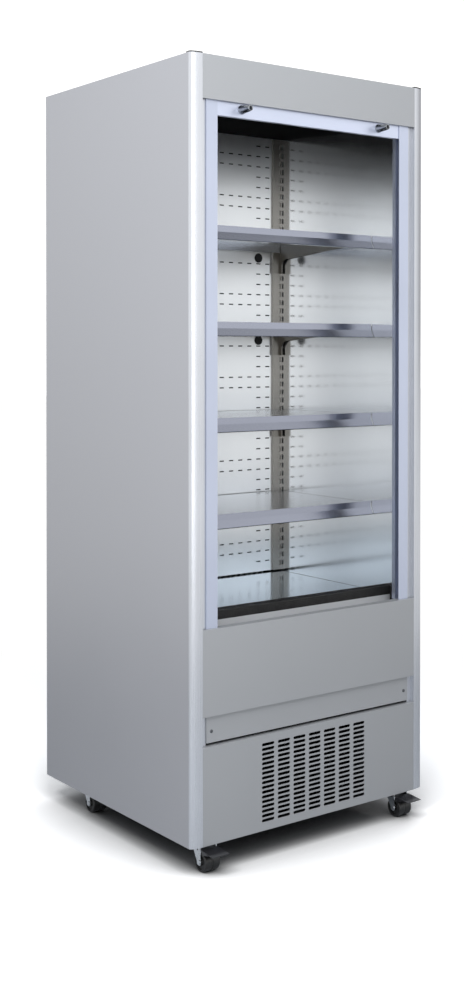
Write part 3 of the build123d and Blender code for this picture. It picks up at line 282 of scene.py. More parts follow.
@dataclass(frozen=True)
class RolledMetal(Finish):
    """Bare or anodised metal: drawn or brushed lines along one axis, over soft cloudy patches."""

    roughness: float
    lines_along: Axis = Axis.Z
    line_width: float = 0.9 * MM      # real lines are finer; drawn as coarse as they need to show
    line_length: float = 260 * MM
    line_swing: float = 0.05          # how much the lines change the roughness
    shade_swing: float = 0.03         # how much the patches change the colour
    patch: float = 240 * MM
    bump: float = 0.02 * MM
    bump_strength: float = 0.35
    metallic: float = 1.0
    # The colour in front of front_limit is painted shade, darker than the rest of the metal.
    painted_front_shade: str | None = None     # colour of what lies in front of front_limit
    front_limit: float = 0.0

    def dress(self, surface: Surface) -> None:
        """Give a new surface its colour, gloss and relief."""
        lines = surface.node("ShaderNodeTexNoise", {
            "Vector": surface.stretched(self.lines_along, self.line_width, self.line_length),
            "Scale": 1.0, "Detail": 3.0, "Roughness": 0.6}).outputs[0]
        patches = surface.node("ShaderNodeTexNoise", {
            "Vector": surface.coords, "Scale": 1 / self.patch, "Detail": 2.0}).outputs[0]
        shade = surface.colour(surface.spread(patches), *shades(self.tint, self.shade_swing))
        # Painted shade: a darker colour for what lies in front of front_limit.
        if self.painted_front_shade:
            places = surface.node("ShaderNodeSeparateXYZ", {"Vector": surface.coords})
            front = surface.node("ShaderNodeMath", {0: places.outputs["Y"], 1: self.front_limit},
                                 operation="LESS_THAN")
            surface.colour(front.outputs[0], shade, linear(self.painted_front_shade))
        rough = surface.spread(lines, self.roughness - self.line_swing,
                               self.roughness + self.line_swing)
        surface.set({"Roughness": rough, "Metallic": self.metallic})
        surface.relief(lines, self.bump_strength, self.bump)


@dataclass(frozen=True)
class CoatedSteel(Finish):
    """Coil-coated or powder-coated sheet: a flake or plain paint with a faint orange-peel skin."""

    roughness: float
    metallic: float = 0.0
    peel: float = 2.2 * MM            # width of an orange-peel dimple
    peel_depth: float = 0.012 * MM
    peel_strength: float = 0.4
    fleck: float = 1.4 * MM           # paint flakes, drawn as coarse as they need to show
    fleck_swing: float = 0.02
    clouds_per_metre: float = 3.0     # slow changes over a whole panel
    gloss_swing: float = 0.02
    coat: float = 0.0
    specular: float = 0.5

    def dress(self, surface: Surface) -> None:
        """Give a new surface its colour, gloss and relief."""
        peel, flecks, clouds = (
            surface.node("ShaderNodeTexNoise", {
                "Vector": surface.coords, "Scale": scale, "Detail": detail}).outputs[0]
            for scale, detail in ((1 / self.peel, 1.0), (1 / self.fleck, 2.0),
                                  (self.clouds_per_metre, 2.0)))
        both = surface.node("ShaderNodeMath", {0: flecks, 1: clouds}, operation="ADD")
        mean = surface.node("ShaderNodeMath", {0: both.outputs[0], 1: 0.5}, operation="MULTIPLY")
        surface.colour(surface.spread(mean.outputs[0]), *shades(self.tint, self.fleck_swing))
        rough = surface.spread(clouds, self.roughness - self.gloss_swing,
                               self.roughness + self.gloss_swing)
        surface.set({"Roughness": rough, "Metallic": self.metallic, "Coat Weight": self.coat,
                     "Specular IOR Level": self.specular})
        surface.relief(peel, self.peel_strength, self.peel_depth)


@dataclass(frozen=True)
class Moulded(Finish):
    """Moulded plastic or rubber: one colour through, fine spark-eroded grain, light scuffs."""

    roughness: float
    grain: float = 0.8 * MM           # real grain is finer; drawn as coarse as it needs to show
    grain_depth: float = 0.03 * MM
    grain_strength: float = 0.5
    scuff: float = 0.06               # how much lighter a scuff is
    scuff_haze: float = 0.25          # share of that which also lifts black
    scuffs_per_metre: float = 45.0
    polish: float = 0.04              # how much smoother the surface is off the scuffs
    wear: float = 0.06                # how much rougher on them

    def dress(self, surface: Surface) -> None:
        """Give a new surface its colour, gloss and relief."""
        grain = surface.node("ShaderNodeTexNoise", {
            "Vector": surface.coords, "Scale": 1 / self.grain, "Detail": 2.0}).outputs[0]
        scuffs = surface.node("ShaderNodeTexNoise", {
            "Vector": surface.coords, "Scale": self.scuffs_per_metre, "Detail": 4.0,
            "Roughness": 0.7}).outputs[0]
        base = linear(self.tint)
        worn = [min(1.0, c + self.scuff * self.scuff_haze + c * self.scuff) for c in base[:3]]
        surface.colour(surface.spread(scuffs), base, worn + [1.0])
        rough = surface.spread(scuffs, self.roughness - self.polish, self.roughness + self.wear)
        surface.set({"Roughness": rough, "IOR": PLASTIC_IOR})
        surface.relief(grain, self.grain_strength, self.grain_depth)


@dataclass(frozen=True)
class ZincCoated(Finish):
    """Hot-dip or plated zinc: crystal spangle in slightly different greys."""

    roughness: float
    spangle: float = 9 * MM
    swing: float = 0.07
    gloss_swing: float = 0.06
    edge_depth: float = 0.02 * MM     # of a crystal's edge
    edge_strength: float = 0.2

    def dress(self, surface: Surface) -> None:
        """Give a new surface its colour, gloss and relief."""
        cells = surface.node("ShaderNodeTexVoronoi",
                             {"Vector": surface.coords, "Scale": 1 / self.spangle})
        grey = surface.node("ShaderNodeSeparateColor", {"Color": cells.outputs["Color"]})
        surface.colour(grey.outputs[0], *shades(self.tint, self.swing))
        rough = surface.node("ShaderNodeMapRange", {
            "Value": grey.outputs[1], "To Min": self.roughness - self.gloss_swing,
            "To Max": self.roughness + self.gloss_swing})
        surface.set({"Roughness": rough.outputs[0], "Metallic": 1.0})
        surface.relief(cells.outputs["Distance"], self.edge_strength, self.edge_depth)


@dataclass(frozen=True)
class WovenFoil(Finish):
    """Aluminised weave of the night blind: crossing threads with a metal sheen."""

    roughness: float = 0.42
    metallic: float = 0.6
    thread: float = 1.6 * MM          # real threads are finer; drawn as coarse as they need to show
    waver: float = 0.4                # how far the threads stray from straight
    # Between the threads the colour is darker: painted shade in the gaps.
    painted_gap_shade: float = 0.82           # colour between the threads, as a share of the tint
    thread_depth: float = 0.1 * MM
    thread_strength: float = 0.5

    def dress(self, surface: Surface) -> None:
        """Give a new surface its colour, gloss and relief."""
        across, down = (
            surface.node("ShaderNodeTexWave", {
                "Vector": surface.coords, "Scale": 1 / self.thread / math.tau,
                "Distortion": self.waver}, bands_direction=way).outputs[1]
            for way in ("X", "Z"))
        weave = surface.node("ShaderNodeMath", {0: across, 1: down},
                             operation="MULTIPLY").outputs[0]
        base = linear(self.tint)
        # Painted shade between the threads.
        surface.colour(weave, [c * self.painted_gap_shade for c in base[:3]] + [1.0], base)
        surface.set({"Roughness": self.roughness, "Metallic": self.metallic})
        surface.relief(weave, self.thread_strength, self.thread_depth)


# Coil-coated silver steel: soft satin greys that darken slowly, never mirror-like.
SILVER_SKIN = CoatedSteel("silver_coil_coated_steel", "b8bac0", 0.40, metallic=0.35)
SILVER_FRONT = CoatedSteel("silver_coil_coated_front", "afb2b6", 0.42, metallic=0.30)
# Satin-anodised extrusions: bright, faintly blue, drawn lines along their length.
ANODISED = RolledMetal("satin_anodised_aluminium", "cdd0d6", 0.30, Axis.Z, metallic=0.85)
ANODISED_POST = RolledMetal("satin_anodised_guide_post", "c3cadc", 0.38, Axis.Z, metallic=0.85)
ANODISED_BAR = RolledMetal("satin_anodised_pull_bar", "ccd3e6", 0.34, Axis.X, metallic=0.85)
# Bright-annealed stainless sheet: a soft mirror, more blurred the further the thing it shows.
LINER_STEEL = RolledMetal("bright_annealed_liner", "f4f6f8", 0.13, Axis.Z, metallic=0.97,
                          line_swing=0.015, shade_swing=0.01, bump=0.001 * MM)
BACK_STEEL = RolledMetal("bright_annealed_back_sheet", "f4f6f7", 0.30, Axis.Z, metallic=0.95,
                         line_swing=0.015, shade_swing=0.01, bump=0.001 * MM)
# Brushed stainless sheet: reflections drawn out into streaks. A shelf's ticket lip is painted a
# darker lilac grey: painted shade.
SHELF_STEEL = RolledMetal("brushed_stainless_shelf", "cdd2da", 0.22, Axis.X, line_swing=0.03,
                          bump=0.004 * MM, painted_front_shade="9a9eab", front_limit=LIP_BACK)
# The deck's pale blue tint is a painted reflection of a pale blue sky.
DECK_STEEL = RolledMetal("brushed_stainless_deck", "c4d8ea", 0.14, Axis.X, line_swing=0.02,
                         bump=0.003 * MM)
# Satin stainless sill: even and pale, with no image of what stands before it.
SILL_STEEL = RolledMetal("satin_stainless_sill", "c9cbce", 0.40, Axis.X, line_swing=0.03,
                         metallic=0.35)
# Roll-formed and passivated steel of the shelf supports: warm mid greys, duller than the liners.
UPRIGHT_STEEL = RolledMetal("rolled_upright_steel", "989590", 0.30, Axis.Z, line_swing=0.03,
                            metallic=0.9)
BRACKET_STEEL = RolledMetal("bright_zinc_passivated_bracket", "8d8a84", 0.34, Axis.Y)
# Galvanised sheet with a grown spangle, and plated casters: brighter and more even.
ZINC_SHEET = ZincCoated("galvanised_sheet", "a3a7aa", 0.42)
ZINC_PLATE = ZincCoated("zinc_plated_steel", "d2d5d8", 0.22, spangle=14 * MM, swing=0.04)
# Turned aluminium: a bright cone with fine lines along its axis.
TURNED_KNOB = RolledMetal("turned_aluminium_knob", "a9acb1", 0.22, Axis.Y, line_swing=0.05,
                          bump=0.01 * MM)
# Matt black coatings of what should not be noticed: they swallow light, with no highlight. On the
# ceiling panel the black is painted shade.
BLACK_SHEET_AND_CEILING_SHADE = CoatedSteel("black_coated_sheet_and_ceiling_shade", "060607", 0.9, specular=0.05)
BLACK_FINS = CoatedSteel("black_coated_condenser_fins", "050506", 0.9, specular=0.05)
# Black plastics and rubbers: a soft broad highlight, more matt the softer the material.
BLACK_PLASTIC = Moulded("black_moulded_abs", "111112", 0.42)
BLACK_RUBBER = Moulded("black_rubber", "0d0d0e", 0.62, grain=1.2 * MM)
WHEEL_RUBBER = Moulded("black_wheel_rubber", "0c0c0d", 0.36, scuff=0.05)
FAN_PLASTIC = Moulded("black_fan_nylon", "1b1c1f", 0.5)
# Grey polystyrene, milky lamp cover and coarse foam: plain, light-scattering and lumpy.
TRAY_PLASTIC = Moulded("grey_tray_polystyrene", "63676c", 0.46)
OPAL = Moulded("opal_diffuser", "d8dce0", 0.3)
FOAM = Moulded("dark_rigid_foam", "161617", 0.85, grain=3 * MM, grain_depth=0.3 * MM)
# Mill-finish fins, drawn copper that has begun to brown in patches, and dull zinc screws.
MILL_FINS = RolledMetal("mill_aluminium_fins", "b5b9bd", 0.36, Axis.Z)
COPPER = RolledMetal("drawn_copper_pipe", "b87350", 0.28, Axis.Z, shade_swing=0.12, patch=40 * MM)
DULL_SCREW = RolledMetal("dull_zinc_screw", "6e7175", 0.42, Axis.Z)
# Powder-coated pedal: near black under a clear coat, so its edges catch the light.
PEDAL_STEEL = CoatedSteel("black_coated_pedal", "232327", 0.30, coat=0.4)
# Aluminised weave: a grey cloth that glints along its threads.
BLIND_WEAVE = WovenFoil("aluminised_blind_weave", "c9ccd0")


class Palette:
    """Builds each finish once and hands it out."""

    def __init__(self) -> None:
        """Start with no materials."""
        self.made: dict[str, bpy.types.Material] = {}

    def __call__(self, finish: Finish) -> bpy.types.Material:
        """Return the finish's material, building it the first time."""
        if finish.name not in self.made:
            self.made[finish.name] = finish.build()
        return self.made[finish.name]


PALETTE = Palette()


# ---- meshes -------------------------------------------------------------------------
def paint(obj: Piece, finish: Finish) -> Piece:
    """Give an object one finish all over."""
    obj.data.materials.clear()
    obj.data.materials.append(PALETTE(finish))
    return obj


def to_object(name: str, mesh: Mesh, finish: Finish, sharp_deg: float = 35.0) -> Piece:
    """Turn a bmesh into a smooth-shaded object with its sharp edges kept.

    Args:
        name: The object's name.
        mesh: The bmesh, which is freed.
        finish: The finish it gets.
        sharp_deg: Edges that turn more than this stay sharp.

    Returns:
        The new object, at the origin.
    """
    bmesh.ops.remove_doubles(mesh, verts=mesh.verts, dist=MERGE)
    bmesh.ops.recalc_face_normals(mesh, faces=mesh.faces)
    limit = math.radians(sharp_deg)
    for face in mesh.faces:
        face.smooth = True
    for edge in mesh.edges:
        edge.smooth = len(edge.link_faces) == 2 and edge.calc_face_angle(0.0) < limit
    data = bpy.data.meshes.new(name)
    mesh.to_mesh(data)
    mesh.free()
    obj = bpy.data.objects.new(name, data)
    bpy.context.scene.collection.objects.link(obj)
    return paint(obj, finish)


def add_box(mesh: Mesh, low: Iterable[float], high: Iterable[float]) -> None:
    """Add a closed box between two corners to a bmesh."""
    lo, hi = Vector(low), Vector(high)
    size = hi - lo
    matrix = Matrix.Translation((lo + hi) / 2) @ Matrix.Diagonal((*size, 1.0))
    bmesh.ops.create_cube(mesh, size=1.0, matrix=matrix)


def add_prism(mesh: Mesh, outline: list[Point], run: Vector,
              hollow: list[Point] | None = None) -> None:
    """Add a closed prism to a bmesh.

    Args:
        mesh: The bmesh that gets it.
        outline: Corners of its first end, in order.
        run: From the first end to the second.
        hollow: Corners of a through hole in it, in order.
    """
    loops = [outline] + ([hollow] if hollow else [])
    ends: list[list[bmesh.types.BMEdge]] = [[], []]
    for loop in loops:
        near = [mesh.verts.new(p) for p in loop]
        far = [mesh.verts.new(Vector(p) + run) for p in loop]
        count = len(loop)
        for i in range(count):
            j = (i + 1) % count
            mesh.faces.new((near[i], near[j], far[j], far[i]))
            ends[0].append(mesh.edges.get((near[i], near[j])))
            ends[1].append(mesh.edges.get((far[i], far[j])))
    for end in ends:
        bmesh.ops.triangle_fill(mesh, use_beauty=True, use_dissolve=False, edges=end)


def add_lathe(mesh: Mesh, section: list[Point2], place: Matrix, segments: int) -> None:
    """Add a turned solid to a bmesh.

    Args:
        mesh: The bmesh that gets it.
        section: (radius, height) points from one end of the axis to the other.
        place: Moves the solid from the Z axis to its place.
        segments: Steps round the axis.
    """
    rings = []
    for radius, height in section:
        if radius < ON_AXIS:
            rings.append([mesh.verts.new(place @ Vector((0, 0, height)))])
            continue
        turns = [math.tau * i / segments for i in range(segments)]
        rings.append([
            mesh.verts.new(place @ Vector((radius * math.cos(t), radius * math.sin(t), height)))
            for t in turns
        ])
    for low, high in zip(rings, rings[1:]):
        for i in range(segments):
            j = (i + 1) % segments
            corners = [low[i % len(low)], low[j % len(low)],
                       high[j % len(high)], high[i % len(high)]]
            unique = list(dict.fromkeys(corners))
            if len(unique) > 2:
                mesh.faces.new(unique)


def arc(centre: Point2, radius: float, start_deg: float, end_deg: float,
        steps: int) -> list[Point2]:
    """Points along a circular arc, both ends included."""
    turns = [math.radians(start_deg + (end_deg - start_deg) * i / steps) for i in range(steps + 1)]
    return [(centre[0] + radius * math.cos(t), centre[1] + radius * math.sin(t)) for t in turns]


def facing_front(place: Point) -> Matrix:
    """Matrix that turns the Z axis to the front, -Y, and moves the origin to a place."""
    return Matrix.Translation(place) @ Matrix.Rotation(math.radians(90), 4, "X")


# ---- Geometry Nodes -----------------------------------------------------------------
class Grower:
    """A Geometry Nodes tree with named inputs, applied to a host mesh and baked to a plain one."""

    def __init__(self, name: str) -> None:
        """Start an empty tree with a geometry input and output.

        Args:
            name: The tree's name.
        """
        self.tree = bpy.data.node_groups.new(name, "GeometryNodeTree")
        for way in ("INPUT", "OUTPUT"):
            self.tree.interface.new_socket("Geometry", in_out=way,
                                           socket_type="NodeSocketGeometry")
        self.inputs: dict[str, str] = {}
        self.entry = self.tree.nodes.new("NodeGroupInput")

    def number(self, name: str, kind: str = "NodeSocketFloat") -> Socket:
        """Add a named input and return the socket that feeds the tree."""
        item = self.tree.interface.new_socket(name, in_out="INPUT", socket_type=kind)
        self.inputs[name] = item.identifier
        return self.entry.outputs[name]

    def node(self, kind: str, inputs: Inputs | None = None, **settings: Any) -> bpy.types.Node:
        """Add one node of the tree."""
        return add_node(self.tree, kind, inputs, **settings)

    def end(self, geometry: Socket, finish: Finish) -> None:
        """Close the tree with Realize Instances and Set Material."""
        real = self.node("GeometryNodeRealizeInstances", {"Geometry": geometry})
        dressed = self.node("GeometryNodeSetMaterial",
                            {"Geometry": real.outputs[0], "Material": PALETTE(finish)})
        self.node("NodeGroupOutput", {"Geometry": dressed.outputs[0]})

    def bake(self, name: str, points: list[Point], values: dict[str, Any],
             finish: Finish) -> Piece:
        """Run the tree on loose points and return a plain mesh object.

        Args:
            name: The new object's name.
            points: Host points.
            values: Named input to its value.
            finish: The finish of the result.

        Returns:
            The baked object, at the origin, with no modifier.
        """
        host_data = bpy.data.meshes.new(f"{name}_points")
        host_data.from_pydata(points, [], [])
        host = bpy.data.objects.new(f"{name}_host", host_data)
        bpy.context.scene.collection.objects.link(host)
        modifier = host.modifiers.new("grow", "NODES")
        modifier.node_group = self.tree
        for key, value in values.items():
            modifier[self.inputs[key]] = value
        bpy.context.view_layer.update()
        graph = bpy.context.evaluated_depsgraph_get()
        data = bpy.data.meshes.new_from_object(host.evaluated_get(graph))
        data.name = name
        bpy.data.objects.remove(host)
        obj = bpy.data.objects.new(name, data)
        bpy.context.scene.collection.objects.link(obj)
        return paint(obj, finish)


def slotted_sheet_tree(finish: Finish) -> Grower:
    """Tree that cuts rounded slots at the host's points out of a rectangular sheet.

    The points lie in the XY plane, the sheet is filled between its outline and the slots, given a
    thickness and stood upright, facing -Y.

    Args:
        finish: The sheet's finish.

    Returns:
        The tree, with inputs Width, Height, Thickness, Slot Length and Slot Height.
    """
    grow = Grower("slotted_sheet")
    width, height = grow.number("Width"), grow.number("Height")
    thickness = grow.number("Thickness")
    slot_length, slot_height = grow.number("Slot Length"), grow.number("Slot Height")
    sheet = grow.node("GeometryNodeCurvePrimitiveQuadrilateral",
                      {"Width": width, "Height": height})
    half = grow.node("ShaderNodeMath", {0: slot_height, 1: ROUND_END}, operation="MULTIPLY")
    slot = grow.node("GeometryNodeCurvePrimitiveQuadrilateral",
                     {"Width": slot_length, "Height": slot_height})
    rounded = grow.node("GeometryNodeFilletCurve",
                        {"Curve": slot.outputs[0], "Count": 3, "Radius": half.outputs[0],
                         "Limit Radius": True}, mode="POLY")
    placed = grow.node("GeometryNodeInstanceOnPoints",
                       {"Points": grow.entry.outputs["Geometry"], "Instance": rounded.outputs[0]})
    slots = grow.node("GeometryNodeRealizeInstances", {"Geometry": placed.outputs[0]})
    both = grow.node("GeometryNodeJoinGeometry")
    for curves in (sheet, slots):
        grow.tree.links.new(curves.outputs[0], both.inputs[0])
    filled = grow.node("GeometryNodeFillCurve", {"Curve": both.outputs[0]}, mode="TRIANGLES")
    raised = grow.node("GeometryNodeExtrudeMesh",
                       {"Mesh": filled.outputs[0], "Offset Scale": thickness, "Individual": False},
                       mode="FACES")
    under = grow.node("GeometryNodeFlipFaces", {"Mesh": filled.outputs[0]})
    closed = grow.node("GeometryNodeJoinGeometry")
    for skin in (raised, under):
        grow.tree.links.new(skin.outputs[0], closed.inputs[0])
    merged = grow.node("GeometryNodeMergeByDistance",
                       {"Geometry": closed.outputs[0], "Distance": MERGE})
    upright = grow.node("GeometryNodeTransform",
                        {"Geometry": merged.outputs[0], "Rotation": (math.radians(90), 0.0, 0.0)})
    grow.end(upright.outputs[0], finish)
    return grow


def repeated_box_tree(name: str, finish: Finish) -> Grower:
    """Tree that puts a box on each host point, for ribs.

    Args:
        name: The tree's name.
        finish: The boxes' finish.

    Returns:
        The tree, with one vector input, Size.
    """
    grow = Grower(name)
    size = grow.number("Size", "NodeSocketVector")
    bar = grow.node("GeometryNodeMeshCube", {"Size": size})
    placed = grow.node("GeometryNodeInstanceOnPoints",
                       {"Points": grow.entry.outputs["Geometry"], "Instance": bar.outputs[0]})
    grow.end(placed.outputs[0], finish)
    return grow


def row_of(count: int, pitch: float) -> list[float]:
    """Places of count things at a pitch, about zero."""
    return [(i - (count - 1) / 2) * pitch for i in range(count)]


# ---- sub-assemblies -----------------------------------------------------------------
@dataclass
class Fridge:
    """What every sub-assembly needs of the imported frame."""

    frame: dict[str, Any]

    def node(self, name: str) -> Piece:
        """The CAD node's object."""
        return self.frame["nodes"][name]

    def dress(self, finish: Finish, *names: str) -> None:
        """Give CAD nodes a finish."""
        for name in names:
            paint(self.node(name), finish)
            LOG.info("dressed %s with %s", name, finish.name)

    def mount(self, name: str) -> Vector:
        """Place of a mount of the record."""
        return Vector(next(m["pos_m"] for m in self.frame["record"]["mounts"] if m["name"] == name))

    def fit(self, obj: Piece, body: str, *replaced: str, slot: str | None = None) -> Piece:
        """Let a piece ride on a body and stand for CAD nodes.

        Args:
            obj: The piece.
            body: Body that carries it.
            replaced: CAD nodes that it stands for.
            slot: Material slot of the record; not used.

        Returns:
            The piece.
        """
        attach(obj, body)
        if replaced:
            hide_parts(*replaced)
        LOG.info("fitted %s on %s, for %s", obj.name, body, ", ".join(replaced) or "no node")
        return obj


@dataclass
class OuterShell:
    """Side, back and roof skins and the two corner extrusions."""

    fridge: Fridge
    nose_turn_deg: float = 20.0       # part of the nose's quarter turn that its flat arc takes
    nose_depth: float = 12 * MM
    nose_steps: tuple[int, int] = (6, 12)         # of the flat arc and of the tight one
    skin: float = 1.2 * MM            # side skin that laps the profile's rebate
    wall: float = 2.0 * MM
    flange: float = 16 * MM           # mounting flange that closes the channel beside the post
    flange_back: float = 11.5 * MM
    fold: float = 1.5 * MM            # sheet that a panel folds in at its edge
    seat: float = 0.3 * MM            # gap between a profile and a panel's edge

    def build(self) -> None:
        """Dress the skins and build smooth corner profiles."""
        self.fridge.dress(SILVER_SKIN, "side_skin_left", "side_skin_right", "roof_skin")
        self.fridge.dress(ZINC_SHEET, "back_skin", "base_frame", "rear_cover")
        self.fridge.dress(FOAM, "insulation_foam")
        self.fridge.dress(BLACK_PLASTIC, "profile_end_caps")
        self.fridge.fit(self.corner_profiles(), "cabinet", "corner_profiles", slot="profile")

    def flange_runs(self) -> list[tuple[float, float]]:
        """(foot, top) of the flange, which is cut out where the lower panel's top edge folds in."""
        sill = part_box("lower_front_panel")[1].z
        return [(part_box("grille_panel")[1].z + self.seat, sill - self.fold - self.seat),
                (sill + self.seat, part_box("header_panel")[1].z - self.fold - self.seat)]

    def corner_profiles(self) -> Piece:
        """The two rounded extrusions, with the CAD section, finer arcs and a flange."""
        low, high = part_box("corner_profiles")
        skin_inner = high.x
        inner = skin_inner - (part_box("header_panel")[0].x - low.x - self.seat)
        width, nose, depth = skin_inner - inner, self.nose_depth, high.y - low.y
        turn = math.radians(self.nose_turn_deg)
        sine, cosine = math.sin(turn), math.cos(turn)
        lean = (1 - cosine) / sine
        tight = (nose - width * lean) / (cosine - (1 - sine) * lean)
        flat = (width - tight * (1 - sine)) / sine
        centre = (skin_inner - tight, low.y + nose)
        bend_deg = -90 + self.nose_turn_deg
        outline = arc((inner, low.y + flat), flat, -90, bend_deg, self.nose_steps[0])
        outline += arc(centre, tight, bend_deg, 0, self.nose_steps[1])[1:]
        rebate = skin_inner - self.skin
        outline += [(rebate, low.y + nose), (rebate, low.y + depth), (inner, low.y + depth)]
        left, right = inner + self.wall, rebate - self.wall
        front, back = low.y + nose / 2 + self.wall, low.y + depth - self.wall
        bore = [(left, front), (right, front), (right, back), (left, back)]
        mesh = bmesh.new()
        run = Vector((0, 0, high.z - low.z))
        for side in (1, -1):
            add_prism(mesh, [(x * side, y, low.z) for x, y in outline], run,
                      [(x * side, y, low.z) for x, y in bore])
            for foot, top in self.flange_runs():
                ends = sorted((side * (inner - self.flange), side * inner))
                add_box(mesh, (ends[0], low.y + self.flange_back, foot),
                        (ends[1], low.y + self.flange_back + self.wall, top))
        return to_object("corner_extrusions", mesh, ANODISED)


@dataclass
class FrontPanels:
    """Header, lower panel, recessed band with its screws, and the slotted grille panel."""

    fridge: Fridge
    head_radius: float = 4.5 * MM
    head_height: float = 2.2 * MM
    head_section: tuple[Point2, ...] = (          # shares of the radius and of the height
        (1, 0), (0.96, 0.45), (0.72, 0.85), (0.35, 1), (0, 1))
    head_steps: int = 24
    recess_width: float = 1.3 * MM
    recess_length: float = 5.2 * MM
    recess_depth: float = 1.2 * MM
    recess_turns_deg: tuple[float, float] = (45.0, 135.0)

    def build(self) -> None:
        """Dress the panels and add the screws."""
        self.fridge.dress(SILVER_FRONT, "header_panel", "lower_front_panel", "screw_band",
                          "grille_panel")
        self.fridge.fit(self.screws(), "cabinet", "band_screws", slot="screw")

    def screws(self) -> Piece:
        """Pan-head screws with a cross recess, one on each end of the band."""
        low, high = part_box("band_screws")
        z = (low.z + high.z) / 2
        section = [(0, 0)] + [(self.head_radius * r, self.head_height * h)
                              for r, h in self.head_section]
        mesh = bmesh.new()
        for side in (-1, 1):
            x = side * (high.x - self.head_radius)
            add_lathe(mesh, section, facing_front((x, low.y + self.head_height, z)),
                      self.head_steps)
            for turn in self.recess_turns_deg:
                place = Matrix.Translation((x, low.y, z))
                place @= Matrix.Rotation(math.radians(turn), 4, "Y")
                size = (self.recess_length, self.recess_depth, self.recess_width, 1.0)
                bmesh.ops.create_cube(mesh, size=1.0, matrix=place @ Matrix.Diagonal(size))
        return to_object("cross_recess_screws", mesh, DULL_SCREW)


